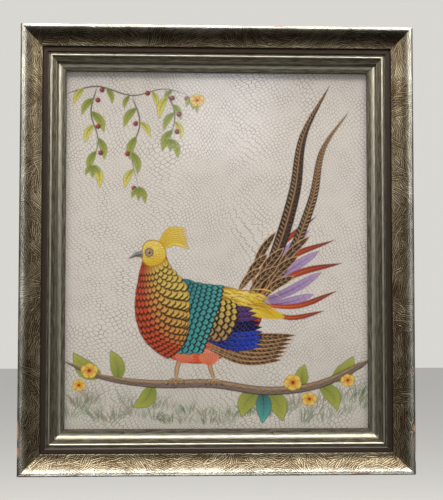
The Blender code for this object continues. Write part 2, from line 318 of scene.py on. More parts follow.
def make_rail(name, side, section, spacing, carve, slot_of):
    """A mitred length of moulding: its section's rows carried along the side as one closed mesh.

    carve(along, across, inward, height) gives a depth in mm to sink each point by, and a table
    of values to keep on the points. slot_of gives the material slot of a row.
    """
    rows, sharp = section
    length = (FRAME_WIDTH if side in ("top", "bottom") else FRAME_HEIGHT) / MM
    columns = round(length / spacing) + 1
    count = len(rows)
    steps = np.roll(rows, -1, axis=0) - rows
    sizes = np.hypot(steps[:, 0], steps[:, 1])
    ways = steps / sizes[:, None]
    tangents = ways + np.roll(ways, 1, axis=0)
    tangents /= np.hypot(tangents[:, 0], tangents[:, 1])[:, None]
    arc = np.concatenate([[0], np.cumsum(sizes)[:-1]])

    share = np.linspace(0, 1, columns)[:, None]
    across = np.repeat(arc[None, :], columns, axis=0)
    inward = np.repeat(rows[None, :, 0], columns, axis=0)
    height = np.repeat(rows[None, :, 1], columns, axis=0)
    along = MITRE_TRIM + inward + share * (length - 2 * (MITRE_TRIM + inward))
    depth, kept = carve(along, across, inward, height)
    inward = inward + depth * tangents[None, :, 1]
    height = height - depth * tangents[None, :, 0]
    along = MITRE_TRIM + inward + share * (length - 2 * (MITRE_TRIM + inward))
    places = side_place(side, along, inward, height).reshape(-1, 3)

    column, row = np.meshgrid(np.arange(columns - 1), np.arange(count), indexing="ij")
    column, row = column.ravel(), row.ravel()
    following = (row + 1) % count
    quads = np.stack(
        [
            column * count + row,
            (column + 1) * count + row,
            (column + 1) * count + following,
            column * count + following,
        ],
        axis=1,
    )
    first_end = np.arange(count)
    ends = [first_end, first_end[::-1] + (columns - 1) * count]
    if side in ("top", "left"):
        quads = quads[:, ::-1]
        ends = [loop[::-1] for loop in ends]

    mesh = bpy.data.meshes.new(name)
    mesh.from_pydata(places.tolist(), [], quads.tolist() + [loop.tolist() for loop in ends])
    mesh.polygons.foreach_set("use_smooth", np.ones(len(mesh.polygons), dtype=bool))
    row_slots = np.array([slot_of(point) for point in rows + steps / 2])
    slots = np.concatenate([row_slots[row], [BARE, BARE]]).astype(np.int32)
    mesh.polygons.foreach_set("material_index", slots)
    edges = np.empty(len(mesh.edges) * 2, dtype=np.int32)
    mesh.edges.foreach_get("vertices", edges)
    edges = edges.reshape(-1, 2)
    same_row = edges[:, 0] % count == edges[:, 1] % count
    same_column = edges[:, 0] // count == edges[:, 1] // count
    at_end = same_column & ((edges[:, 0] < count) | (edges[:, 0] >= (columns - 1) * count))
    marks = (same_row & np.isin(edges[:, 0] % count, sharp)) | at_end
    mesh.attributes.new("sharp_edge", "BOOLEAN", "EDGE").data.foreach_set("value", marks)
    kept = {"along": along, "across": across, **kept}
    for key, values in kept.items():
        layer = mesh.attributes.new(key, "FLOAT", "POINT")
        layer.data.foreach_set("value", values.ravel().astype(np.float32))
    mesh.update()
    piece = bpy.data.objects.new(name, mesh)
    bpy.context.scene.collection.objects.link(piece)
    return piece


def combed_strokes(along, across, settings, seed):
    """Heights from 0 to 1 of short combed strokes, laid patch over patch in changing directions.

    There is a patch for each 20 square mm. Each lies at its own angle round one that sways along
    the rail, is slightly bent, and holds strokes of unlike length with soft ends.
    """
    chance = np.random.default_rng(seed)
    spacing = settings.comb_spacing / MM
    reach = settings.patch_length / MM / 2
    length, width = float(along.max()), float(across.max())
    height = np.full(along.shape, 0.5)
    columns = along[:, 0]
    # The first draw goes unused, which keeps each patch where it was set out
    chance.uniform(-1, 1)
    patch_area = 20
    for index in range(int(length * width / patch_area)):
        middle = chance.uniform(-reach, length + reach)
        level = chance.uniform(-2, width + 2)
        near = np.flatnonzero(np.abs(columns - middle) < reach * 1.3)
        sway = math.sin(middle / 23 + seed) + 0.6 * math.sin(middle / 9.1 + 2 * seed)
        angle = 0.75 * sway + 0.7 * chance.uniform(-1, 1)
        bend = chance.uniform(-1, 1) / 40
        half = reach * chance.uniform(0.3, 0.75)
        spread = chance.uniform(1.6, 5.5)
        if not len(near):
            continue
        part = slice(near[0], near[-1] + 1)
        x, y = along[part] - middle, across[part] - level
        p = x * math.cos(angle) + y * math.sin(angle)
        q = y * math.cos(angle) - x * math.sin(angle) + bend * p * p
        q = q + 0.5 * (lattice_noise(p / 5 + index * 7.7, q / 3, seed) - 0.5)
        line = np.floor(q / spacing)
        shift = lattice_noise(line, np.full(line.shape, index * 1.0), seed + 1)
        size = lattice_noise(line, np.full(line.shape, index * 1.0), seed + 2)
        here = half * (0.35 + 0.65 * size)
        off = np.abs(p - (shift - 0.5) * half * 0.9)
        cover = 1 - smooth_step(here * 0.75, here, off)
        cover = cover * (1 - smooth_step(spread * 0.8, spread, np.abs(q)))
        wave = 0.5 - 0.5 * np.cos(2 * math.pi * (q / spacing - line))
        height[part] = height[part] * (1 - cover) + wave * (0.6 + 0.4 * shift) * cover
    return height


# Places in the outer moulding's section, in mm inward from its edge or up from its back. The comb
# starts on the outer side and ends at the scoop's lip, where the plain fillet begins. The polish
# fades from the rim into the scoop and comes back a little on the lip
COMB_START, COMB_END = (17, 22), (19.8, 20.4)
RIM_POLISH, LIP_POLISH = (3.5, 10.5), (17.5, 19.8)
FILLET = 20.5
# The rebate for the slip, and the flat back
REBATE_WALL, REBATE_TOP, BACK_FACE = 19.0, 22.4, 1.0
# Uncombed gesso is a little lower than a ridge, as a share of the comb's depth
UNCOMBED = 0.8
# Wear ends between these heights on the outer side, and goes this deep
WEAR_FOOT = (29, 34)
CHIP_DEPTH, RUB_DEPTH = 0.35, 0.08

# Worn places of the outer moulding: along the rail, inward, half length and half width, all in mm
CHIPS = {
    "left": [(24, 1.2, 6, 1.7), (45, 0.9, 10, 1.5)],
    "right": [(45, 2.1, 3.6, 1.3), (17, 0.4, 5, 1.0)],
    "bottom": [],
    "top": [(160, 0.2, 3, 0.7)],
}
RUBS = {
    "left": [(78, 15.8, 1.6, 1.0), (81, 14.2, 1.0, 0.8), (140, 1.5, 9, 1.0)],
    "right": [(30, 1.2, 9, 1.0), (100, 1.6, 5, 0.8)],
    "bottom": [(8, 1.2, 7, 1.6), (300, 0.8, 9, 1.3), (326, 1.4, 11, 1.6)],
    "top": [(250, 1.2, 8, 0.9)],
}


def worn_share(places, along, inward, height, seed):
    """How far the leaf is worn away, from 0 to 1, round the given places on the outer edge."""
    share = np.zeros(along.shape)
    ragged = lattice_noise(along / 1.3, inward / 0.8 + height / 1.1, seed)
    for middle, level, half, spread in places:
        off = ((along - middle) / half) ** 2 + ((inward - level) / spread) ** 2
        share = np.maximum(share, 1 - smooth_step(0.5, 1.0, off + 0.9 * (ragged - 0.5)))
    return share * smooth_step(*WEAR_FOOT, height + 5 * (ragged - 0.5))


def moulding_slot(point):
    """Which finish a row of the outer moulding has, from its place in the section."""
    inward, height = point
    if inward > FILLET - 0.05 and height > REBATE_TOP - 0.1:
        return BOLE
    in_rebate = inward > REBATE_WALL and height < REBATE_TOP + 0.1
    return BARE if in_rebate or height < BACK_FACE else LEAF


def leaf_on_combed_gesso(settings):
    """Silver leaf laid over combed gesso, varnished amber, rubbed back and toned with umber wax.

    The eye gets small glints along each stroke, brown lines between them and a warm grey sheen.
    """
    material, tree = new_material("Champagne leaf on combed gesso")
    comb, worn, rubbed, polish, along, across = (
        add_node(tree, "Attribute", attribute_name=name)["Fac"]
        for name in ("comb", "worn", "rubbed", "polish", "along", "across")
    )
    place = add_node(tree, "CombineXYZ", along, across)[0]
    # Clouds of 25 mm in the wax, and grit of 0.8 mm in the leaf, the finest that shows
    cloud = add_node(tree, "TexNoise", links={"Vector": place, "Scale": 0.04, "Detail": 4.0})[0]
    grit = add_node(tree, "TexNoise", links={"Vector": place, "Scale": 1.2, "Detail": 2.0})[0]

    # The wax lies in the grooves and over the unpolished scoop, with clouds and specks
    tone = add_node(tree, "MapRange", comb, 0.2, 0.75, 0.66, 0.0)[0]
    for part in (
        (cloud, 0.3, 0.7, -0.15, 0.22),
        (polish, 0, 1, 0.42, 0),
        (grit, 0.35, 0.65, -0.25, 0.25),
    ):
        part = add_node(tree, "MapRange", *part)[0]
        tone = add_node(tree, "Math", tone, part, operation="ADD")[0]

    # Bare wood is dirty too. The layers lie over the varnished leaf in this order
    dirt = add_node(tree, "MapRange", grit, 0.35, 0.7, 0, 0.7)[0]
    links = {6: settings.bare, 7: settings.toning}
    bare = add_node(tree, "Mix", dirt, links=links, data_type="RGBA")[2]
    colour = settings.varnish
    for share, layer in (
        (polish, settings.leaf),
        (tone, settings.toning),
        (rubbed, settings.clay),
        (worn, bare),
    ):
        colour = add_node(tree, "Mix", share, links={6: colour, 7: layer}, data_type="RGBA")[2]
    gone = add_node(tree, "Math", worn, rubbed, operation="MAXIMUM")[0]
    metal = add_node(tree, "Math", 1.0, gone, operation="SUBTRACT", use_clamp=True)[0]
    rough = add_node(tree, "MapRange", grit, 0.3, 0.7, 0.36, 0.52)[0]
    rough = add_node(tree, "Math", gone, 0.35, rough, operation="MULTIPLY_ADD")[0]
    bump = add_node(tree, "Bump", links={"Height": grit, "Strength": 0.9, "Distance": 0.2 * MM})[0]
    links = {"Base Color": colour, "Metallic": metal, "Roughness": rough, "Normal": bump}
    add_node(tree, "OutputMaterial", add_node(tree, "BsdfPrincipled", links=links)[0])
    return material


def dark_bole(settings):
    """Brown bole rubbed with bronze powder: near black in shade, brown where it meets the light."""
    material, tree = new_material("Bronzed dark bole")
    place = add_node(tree, "TexCoord")["Object"]
    # Brush marks of about 1.7 mm
    brush = add_node(tree, "TexNoise", links={"Vector": place, "Scale": 600.0, "Detail": 3.0})[0]
    marks = add_node(tree, "MapRange", brush, 0.3, 0.7, 0, 0.5)[0]
    # A painted highlight: the fillet's last 0.15 mm before the slip is painted pale
    inward = add_node(tree, "Attribute", attribute_name="inward")["Fac"]
    edge = add_node(tree, "MapRange", inward, 24.85, 25.0, 0.0, 0.8)[0]
    colour = settings.fillet
    for share, layer in ((marks, settings.brushed), (edge, settings.arris_highlight)):
        colour = add_node(tree, "Mix", share, links={6: colour, 7: layer}, data_type="RGBA")[2]
    rough = add_node(tree, "MapRange", brush, 0.3, 0.7, 0.3, 0.45)[0]
    bump = add_node(tree, "Bump", links={"Height": brush, "Strength": 0.3, "Distance": 0.05 * MM})[0]
    links = {"Base Color": colour, "Metallic": 0.65, "Roughness": rough, "Normal": bump}
    add_node(tree, "OutputMaterial", add_node(tree, "BsdfPrincipled", links=links)[0])
    return material


def sawn_wood(settings):
    """Pale softwood, planed and left raw: straight grain lines and no shine."""
    material, tree = new_material("Planed softwood")
    along, across = (
        add_node(tree, "Attribute", attribute_name=name)["Fac"] for name in ("along", "across")
    )
    # Grain lines 1.2 mm apart, drawn out 50 times along the rail
    long_way = add_node(tree, "Math", along, 0.02, operation="MULTIPLY")[0]
    place = add_node(tree, "CombineXYZ", long_way, across)[0]
    grain = add_node(tree, "TexNoise", links={"Vector": place, "Scale": 0.8, "Detail": 5.0})[0]
    share = add_node(tree, "MapRange", grain, 0.35, 0.7, 0, 0.8)[0]
    dark = tuple(0.5 * part for part in settings.wood)
    colour = add_node(tree, "Mix", share, links={6: settings.wood, 7: dark}, data_type="RGBA")[2]
    bump = add_node(tree, "Bump", links={"Height": grain, "Strength": 0.4, "Distance": 0.15 * MM})[0]
    links = {"Base Color": colour, "Roughness": 0.72, "Normal": bump}
    add_node(tree, "OutputMaterial", add_node(tree, "BsdfPrincipled", links=links)[0])
    return material


class PLAQUE_OT_outer_mouldings(bpy.types.Operator):
    """Make the four combed and leafed lengths of the outer moulding"""

    bl_idname = "plaque.outer_mouldings"
    bl_label = "Outer mouldings"

    def execute(self, context):
        settings = context.scene.plaque_moulding
        finishes = [leaf_on_combed_gesso(settings), dark_bole(settings), sawn_wood(settings)]

        def step_at(point):
            """Close rows where the comb went, and wide ones elsewhere."""
            inward, height = point
            plain = inward > COMB_END[1] or height < COMB_START[0]
            return OUTER_PLAIN_ROWS if plain else OUTER_ROWS

        section = smooth_rows(end_section("frame_rail_bottom"), step_at)
        for index, side in enumerate(SIDES):

            def carve(along, across, inward, height):
                combed = smooth_step(*COMB_START, height) * (1 - smooth_step(*COMB_END, inward))
                polish = 1 - smooth_step(*RIM_POLISH, inward)
                polish = polish + 0.1 * smooth_step(*LIP_POLISH, inward)
                first = int(np.argmax(height[0] > COMB_START[0]))
                last = int(np.argmax(inward[0] > FILLET))
                shown = np.s_[:, first:last]
                comb = np.full(along.shape, UNCOMBED)
                level = across[shown] - across[0, first]
                comb[shown] = combed_strokes(along[shown], level, settings, 11 + index)
                worn = worn_share(CHIPS[side], along, inward, height, 5 + index)
                rubbed = worn_share(RUBS[side], along, inward, height, 9 + index) * (1 - worn)
                relief = combed * (1 - comb) * settings.comb_depth / MM
                depth = relief + CHIP_DEPTH * worn + RUB_DEPTH * rubbed
                kept = {"comb": comb, "worn": worn, "rubbed": rubbed, "polish": polish}
                return depth, {**kept, "inward": inward}

            node = "frame_rail_" + side
            name = "combed_rail_" + side
            piece = make_rail(name, side, section, OUTER_COLUMNS, carve, moulding_slot)
            for finish in finishes:
                piece.data.materials.append(finish)
            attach(piece, "root")
            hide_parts(node)
        return {"FINISHED"}


def leaf_on_smooth_gesso(settings):
    """Silver leaf on smooth gesso under thin varnish: soft bright bands, and painted shade on flats
    and hollows.
    """
    material, tree = new_material("Champagne leaf on smooth gesso")
    along, across, pitted, toned = (
        add_node(tree, "Attribute", attribute_name=name)["Fac"]
        for name in ("along", "across", "pitted", "toned")
    )
    # Wiping streaks of about 12 by 1.5 mm, and grains of 0.6 mm
    long_way = add_node(tree, "Math", along, 0.12, operation="MULTIPLY")[0]
    place = add_node(tree, "CombineXYZ", long_way, across)[0]
    flat = add_node(tree, "CombineXYZ", along, across)[0]
    streak = add_node(tree, "TexNoise", links={"Vector": place, "Scale": 0.7, "Detail": 3.0})[0]
    grain = add_node(tree, "TexNoise", links={"Vector": flat, "Scale": 1.6, "Detail": 2.0})[0]
    tone = add_node(tree, "MapRange", streak, 0.35, 0.75, 0.05, 0.45)[0]
    grains = add_node(tree, "MapRange", grain, 0.35, 0.7, -0.1, 0.35)[0]
    # The bands' painted shade adds to the wax streaks, and the pits darken the leaf further
    for part, way in ((grains, "ADD"), (toned, "ADD"), (pitted, "MAXIMUM")):
        tone = add_node(tree, "Math", tone, part, operation=way)[0]
    links = {6: settings.leaf, 7: settings.toning}
    colour = add_node(tree, "Mix", tone, links=links, data_type="RGBA")[2]
    rough = add_node(tree, "MapRange", grain, 0.3, 0.7, 0.3, 0.42)[0]
    bump = add_node(tree, "Bump", links={"Height": grain, "Strength": 0.6, "Distance": 0.1 * MM})[0]
    links = {"Base Color": colour, "Metallic": 1.0, "Roughness": rough, "Normal": bump}
    add_node(tree, "OutputMaterial", add_node(tree, "BsdfPrincipled", links=links)[0])
    return material


# Places in the slip's section in mm. It shows inward of its outer edge and over its foot, the leaf
# goes a little lower, and what lies under its sight edge is painted dark as shade
SLIP_EDGE, SLIP_FOOT, LEAF_FOOT = 25.7, 17.0, 13.2
SIGHT_EDGE, SIGHT_UNDERSIDE = 42.2, 17.2
# The gesso is uneven once these are passed, and a pit in it goes this deep
UNEVEN_INWARD, UNEVEN_HEIGHT, PIT_DEPTH = (25.9, 26.3), (17.6, 18.4), 0.05

# The slip's bands of painted shade, in mm inward: how dark each is, where it starts and is full, and
# where it fades and ends. The sight fillet's band has no end on the moulding
PAINTED_SHADE_BANDS = {
    "flat_edge": (0.5, 25.6, 25.9, 27.2, 27.9),
    "sight_fillet": (0.5, 38.7, 39.1, 50, 51),
    "cove": (0.2, 33.9, 34.6, 35.5, 38.0),
    "leaning_band": (0.58, 29.7, 30.2, 33.3, 34.2),
}

# Dark pits in the inner moulding's leaf: along the rail, inward, half length and half width in mm
PITS = {
    "top": [(90, 28.5, 2, 0.8)],
    "bottom": [
        (98, 39.0, 4, 1.6),
        (232, 39.4, 3.5, 1.4),
        (243, 38.6, 3, 1.8),
        (250, 39.6, 2.5, 1.0),
    ],
    "left": [(210, 25.6, 3, 0.6)],
    "right": [(150, 33.0, 3, 0.8)],
}


class PLAQUE_OT_slip_mouldings(bpy.types.Operator):
    """Make the four smooth leafed lengths of the inner moulding"""

    bl_idname = "plaque.slip_mouldings"
    bl_label = "Inner mouldings"

    def execute(self, context):
        settings = context.scene.plaque_slip
        finishes = [
            leaf_on_smooth_gesso(settings),
            dark_bole(context.scene.plaque_moulding),
            sawn_wood(context.scene.plaque_moulding),
        ]

        def step_at(point):
            """Close rows on what shows, and wide ones elsewhere."""
            inward, height = point
            return SLIP_ROWS if inward > SLIP_EDGE and height > SLIP_FOOT else SLIP_PLAIN_ROWS

        def slot_of(point):
            """Dark bole as painted shade under the sight edge, leaf on what shows, and raw wood
            where it doesn't.
            """
            inward, height = point
            # Painted shade: the sight edge's underside takes the dark bole
            if inward > SIGHT_EDGE and height < SIGHT_UNDERSIDE:
                return BOLE
            return LEAF if inward > SLIP_EDGE + 0.02 and height > LEAF_FOOT else BARE

        section = smooth_rows(end_section("slip_rail_bottom"), step_at)
        for index, side in enumerate(SIDES):

            def carve(along, across, inward, height):
                shown = smooth_step(*UNEVEN_INWARD, inward) * smooth_step(*UNEVEN_HEIGHT, height)
                wave = lattice_noise(along / 14, across / 6, 31 + index)
                ragged = lattice_noise(along / 0.9, across / 0.7, 41 + index)
                pitted = np.zeros(along.shape)
                for middle, level, half, spread in PITS[side]:
                    off = ((along - middle) / half) ** 2 + ((inward - level) / spread) ** 2
                    off = off + 1.6 * (ragged - 0.4)
                    pitted = np.maximum(pitted, 1 - smooth_step(0.3, 0.8, off))
                depth = shown * (wave * settings.waviness / MM + PIT_DEPTH * pitted)
                # Painted shade in bands across the section: the flat edge, the leaning band, the
                # cove and the sight fillet
                toned = np.zeros(along.shape)
                for share, start, full, fading, end in PAINTED_SHADE_BANDS.values():
                    fading = 1 - smooth_step(fading, end, inward)
                    toned = toned + share * (smooth_step(start, full, inward) * fading)
                return depth, {"pitted": pitted * 0.9, "toned": toned}

            node = "slip_rail_" + side
            name = "gilded_slip_" + side
            piece = make_rail(name, side, section, SLIP_COLUMNS, carve, slot_of)
            for finish in finishes:
                piece.data.materials.append(finish)
            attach(piece, "root")
            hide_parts(node)
        return {"FINISHED"}


def crackle_glaze(settings):
    """Cream earthenware glaze, painted, fired and crazed, with brown stain drawn into its cracks.

    The eye gets a glassy skin, a net of squarish cells, and the paint showing under both.
    """
    material, tree = new_material("Crackle-glazed earthenware")
    parts = add_node(tree, "SeparateXYZ", add_node(tree, "TexCoord")["Object"])
    flat = add_node(tree, "CombineXYZ", parts["X"], parts["Z"])[0]
    paint = add_node(tree, "VertexColor", layer_name="paint")["Color"]
    cover = add_node(tree, "Attribute", attribute_name="cover")["Fac"]

    # The net of cracks wanders by up to 35 mm over about 110 mm, leans and is a little drawn out
    drift = add_node(tree, "TexNoise", links={"Vector": flat, "Scale": 9.0, "Detail": 1.0})[1]
    drift = add_node(tree, "VectorMath", drift, (0.5, 0.5, 0.5), operation="SUBTRACT")[0]
    drift = add_node(tree, "VectorMath", drift, links={"Scale": 0.07}, operation="SCALE")[0]
    bent = add_node(tree, "VectorMath", flat, drift, operation="ADD")[0]
    turn = {"Vector": bent, "Angle": -0.6}
    turned = add_node(tree, "VectorRotate", links=turn, rotation_type="Z_AXIS")[0]
    bricks = add_node(tree, "VectorMath", turned, (0.88, 1.14, 1), operation="MULTIPLY")[0]
    net = add_node(
        tree,
        "TexVoronoi",
        links={"Vector": bricks, "Scale": 1 / settings.cell, "Randomness": 0.65},
        voronoi_dimensions="2D",
        feature="DISTANCE_TO_EDGE",
    )["Distance"]
    half_crack = settings.crack_width / settings.cell / 2
    line = add_node(tree, "MapRange", net, half_crack * 0.4, half_crack * 2.2, 1.0, 0.0)[0]
    # Cracks are fainter in patches of about 17 mm
    patch = add_node(tree, "TexNoise", links={"Vector": flat, "Scale": 60.0, "Detail": 2.0})[0]
    strength = add_node(tree, "MapRange", patch, 0.35, 0.65, 0.5, 1.0)[0]
    line = add_node(tree, "Math", line, strength, operation="MULTIPLY")[0]

    # Cool clouds of about 55 mm, and the meadow's wash from 105 mm over the lower edge down to 45
    cloud = add_node(tree, "TexNoise", links={"Vector": flat, "Scale": 18.0, "Detail": 3.0})[0]
    cool = add_node(tree, "MapRange", cloud, 0.35, 0.65, 0, 0.35)[0]
    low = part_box("ceramic_plaque")[0].z
    meadow = add_node(tree, "MapRange", parts["Z"], low + 105 * MM, low + 45 * MM, 0.0, 0.26)[0]
    uneven = add_node(tree, "MapRange", cloud, 0.3, 0.6, 0.5, 1.0)[0]
    meadow = add_node(tree, "Math", meadow, uneven, operation="MULTIPLY")[0]
    # The paint holds colour times cover, so what it covers turns black before it is added
    colour = settings.ground
    for share, layer in ((cool, settings.cool), (meadow, settings.meadow), (cover, (0, 0, 0))):
        colour = add_node(tree, "Mix", share, links={6: colour, 7: layer}, data_type="RGBA")[2]
    links = {6: colour, 7: paint}
    colour = add_node(tree, "Mix", 1.0, links=links, data_type="RGBA", blend_type="ADD")[2]
    stain = add_node(tree, "MapRange", cover, 0, 1, 0.8, 0.45)[0]
    stain = add_node(tree, "Math", line, stain, operation="MULTIPLY")[0]
    colour = add_node(tree, "Mix", stain, links={6: colour, 7: settings.crack}, data_type="RGBA")[2]

    # The skin ripples over about 4.5 mm and dips into the cracks
    ripple = add_node(tree, "TexNoise", links={"Vector": flat, "Scale": 220.0, "Detail": 2.0})[0]
    height = add_node(tree, "Math", ripple, 0.6, operation="MULTIPLY")[0]
    height = add_node(tree, "Math", height, line, operation="SUBTRACT")[0]
    bump = add_node(tree, "Bump", links={"Height": height, "Strength": 0.6, "Distance": 0.1 * MM})[0]
    rough = add_node(tree, "MapRange", ripple, 0.3, 0.7, 0.06, 0.14)[0]
    links = {"Base Color": colour, "Roughness": rough, "IOR": 1.5, "Normal": bump}
    add_node(tree, "OutputMaterial", add_node(tree, "BsdfPrincipled", links=links)[0])
    return material


def biscuit_body(settings):
    """Unglazed earthenware, pressed and fired once: buff, matt and faintly gritty."""
    material, tree = new_material("Biscuit earthenware")
    place = add_node(tree, "TexCoord")["Object"]
    # Grog of about 1.4 mm, coarser than the real grit so that it shows
    grog = add_node(tree, "TexNoise", links={"Vector": place, "Scale": 700.0, "Detail": 3.0})[0]
    share = add_node(tree, "MapRange", grog, 0.4, 0.7, 0, 0.6)[0]
    dark = tuple(0.7 * part for part in settings.biscuit)
    colour = add_node(tree, "Mix", share, links={6: settings.biscuit, 7: dark}, data_type="RGBA")[2]
    bump = add_node(tree, "Bump", links={"Height": grog, "Strength": 0.5, "Distance": 0.1 * MM})[0]
    links = {"Base Color": colour, "Roughness": 0.85, "Normal": bump}
    add_node(tree, "OutputMaterial", add_node(tree, "BsdfPrincipled", links=links)[0])
    return material


class Canvas:
    """The tile's face as a lattice of points, painted in flat shapes, each laid over the last.

    A shape is a ring of (u, v) places in mm and a shade, which gives the linear colour and the
    cover at places of its own. Three samples each way are averaged for each point.
    """

    # Samples each way for a point, and the points along a large cell's side
    SAMPLES = 3
    LARGEST = 8

    def __init__(self, half_width, half_height, spacing):
        self.columns = round(2 * half_width / spacing / self.LARGEST) * self.LARGEST
        self.rows = round(2 * half_height / spacing / self.LARGEST) * self.LARGEST
        self.low = np.array([-half_width, -half_height])
        self.step = np.array([2 * half_width / self.columns, 2 * half_height / self.rows])
        self.grain = self.step / self.SAMPLES
        first = self.low - self.grain
        self.u = first[0] + self.grain[0] * np.arange((self.columns + 1) * self.SAMPLES)
        self.v = first[1] + self.grain[1] * np.arange((self.rows + 1) * self.SAMPLES)
        # Colour times cover, and cover
        self.paint = np.zeros((len(self.v), len(self.u), 4), dtype=np.float32)

    def add(self, ring, shade):
        ring = np.array(ring)
        ends = np.roll(ring, -1, axis=0)
        left = np.searchsorted(self.u, ring[:, 0].min())
        right = np.searchsorted(self.u, ring[:, 0].max()) + 1
        low = np.searchsorted(self.v, ring[:, 1].min())
        high = np.searchsorted(self.v, ring[:, 1].max())
        u, v = self.u[left:right], self.v[low:high]
        if not len(u) or not len(v):
            return
        level = v[:, None]
        rising = (ring[None, :, 1] <= level) & (level < ends[None, :, 1])
        falling = (ends[None, :, 1] <= level) & (level < ring[None, :, 1])
        row, leg = np.nonzero(rising | falling)
        share = (v[row] - ring[leg, 1]) / (ends[leg, 1] - ring[leg, 1])
        cross = ring[leg, 0] + share * (ends[leg, 0] - ring[leg, 0])
        turns = np.zeros((len(v), len(u) + 1))
        np.add.at(turns, (row, np.searchsorted(u, cross)), np.where(rising[row, leg], 1.0, -1.0))
        inside = np.abs(np.cumsum(turns, axis=1)[:, :-1]) > 0.5
        colour, cover = shade(u[None, :], v[:, None])
        part = self.paint[low:high, left:right]
        laid = (inside * cover)[:, :, None]
        tint = np.stack([np.broadcast_to(value, inside.shape) for value in (*colour, 1.0)], axis=-1)
        part += (tint - part) * laid

    def points(self):
        """The paint at each lattice point."""
        shape = (self.rows + 1, self.SAMPLES, self.columns + 1, self.SAMPLES, 4)
        return self.paint.reshape(shape).mean(axis=(1, 3))

    def cells(self, points, tolerance):
        """Square cells (row, column, size), large where the paint hardly changes."""
        found = []
        open_cells = np.ones((self.rows, self.columns), dtype=bool)
        size = self.LARGEST
        while size >= 1:
            low = points[: -1 : size, : -1 : size].copy()
            high = low.copy()
            last_row, last_column = self.rows - size + 1, self.columns - size + 1
            for i in range(size + 1):
                for j in range(size + 1):
                    part = points[i : i + last_row : size, j : j + last_column : size]
                    low, high = np.minimum(low, part), np.maximum(high, part)
            plain = ((high - low).max(axis=-1) < tolerance) | (size == 1)
            plain &= open_cells[::size, ::size]
            for row, column in np.argwhere(plain):
                found.append((int(row) * size, int(column) * size, size))
            open_cells &= ~np.kron(plain, np.ones((size, size), dtype=bool))
            size //= 2
        return found


# Colours on the painter's palette
PAINT = {
    name: from_hex(text)
    for name, text in {
        "straw": "#eed56a",
        "gold": "#dcb52a",
        "ochre": "#a9781f",
        "amber": "#d98a2c",
        "vermilion": "#d9542c",
        "brick": "#a83620",
        "maroon": "#6b1d1c",
        "coral": "#e58a68",
        "teal": "#55b3ab",
        "sea": "#2f8286",
        "ink": "#16282f",
        "blue": "#2440b4",
        "night": "#10164a",
        "violet": "#5d3a78",
        "lilac": "#b79ac0",
        "mauve": "#8a6d98",
        "umber": "#5b3b2a",
        "sepia": "#36241b",
        "black": "#1b1513",
        "tan": "#c39a6c",
        "bark": "#7d6a5e",
        "leaf": "#b3b24e",
        "moss": "#7f8a3c",
        "fern": "#566c3f",
        "shadow": "#3c5150",
        "berry": "#8b3a3c",
        "wine": "#55191f",
        "grass": "#8b9579",
        "straw_grass": "#8d8068",
        "white": "#f4efe6",
        "grey": "#8d8f95",
    }.items()
}


def mixed(first, second, share):
    share = min(1.0, max(0.0, share))
    return tuple(a + (b - a) * share for a, b in zip(PAINT[first], PAINT[second]))


def wash(colour, share=1.0):
    """A shade of one colour."""
    tint = PAINT.get(colour, colour)
    return lambda u, v: (tint, share)


def fade(first, second, start, end, share=1.0):
    """A shade that turns from one colour to another between two places."""
    first, second = PAINT.get(first, first), PAINT.get(second, second)
    way = (end[0] - start[0], end[1] - start[1])
    size = way[0] ** 2 + way[1] ** 2

    def shade(u, v):
        t = np.clip(((u - start[0]) * way[0] + (v - start[1]) * way[1]) / size, 0, 1)
        return tuple(a + (b - a) * t for a, b in zip(first, second)), share

    return shade


def through(points, count, closed=False):
    """A smooth curve through the points, as an array of places."""
    points = np.array(points, dtype=float)
    if closed:
        padded = np.concatenate([points[-1:], points, points[:2]])
        place = np.linspace(0, len(points), count, endpoint=False)
    else:
        ends = 2 * points[[0, -1]] - points[[1, -2]]
        padded = np.concatenate([ends[:1], points, ends[1:]])
        place = np.linspace(0, len(points) - 1, count)
    first = np.minimum(place.astype(int), len(padded) - 4)
    t = (place - first)[:, None]
    a, b, c, d = (padded[first + step] for step in range(4))
    square, cube = 2 * a - 5 * b + 4 * c - d, 3 * b - a - 3 * c + d
    return 0.5 * (2 * b + (c - a) * t + square * t**2 + cube * t**3)


def bowed(start, end, bend):
    """A spine from one place to another, bowed to its left by a share of its length."""
    (x, y), (p, q) = start, end
    return [start, ((x + p) / 2 - (q - y) * bend, (y + q) / 2 + (p - x) * bend), end]


def blade(spine, width, fullest=0.5, blunt=0.6, reach=(0.0, 1.0), steps=11):
    """The ring of a feather, leaf, petal or brush stroke along part of a smooth spine."""
    whole = through(spine, 61)
    path = whole[np.linspace(reach[0] * 60, reach[1] * 60, steps).astype(int)]
    ways = np.gradient(path, axis=0)
    ways /= np.hypot(ways[:, 0], ways[:, 1])[:, None]
    normals = np.stack([-ways[:, 1], ways[:, 0]], axis=1)
    t = np.linspace(0, 1, steps)
    rise = np.sin(np.clip(t / fullest, 0, 1) * math.pi / 2) ** 0.7
    fall = np.cos(np.clip((t - fullest) / (1 - fullest), 0, 1) * math.pi / 2) ** blunt
    half = (width / 2 * rise * fall)[:, None]
    left, right = path + normals * half, path - normals * half
    return [tuple(p) for p in left] + [tuple(p) for p in right[-2:0:-1]]


def stroke(painting, spine, width, shade, fullest=0.25, steps=7):
    """One pull of a pointed brush."""
    painting.add(blade(spine, width, fullest, 1.1, steps=steps), shade)


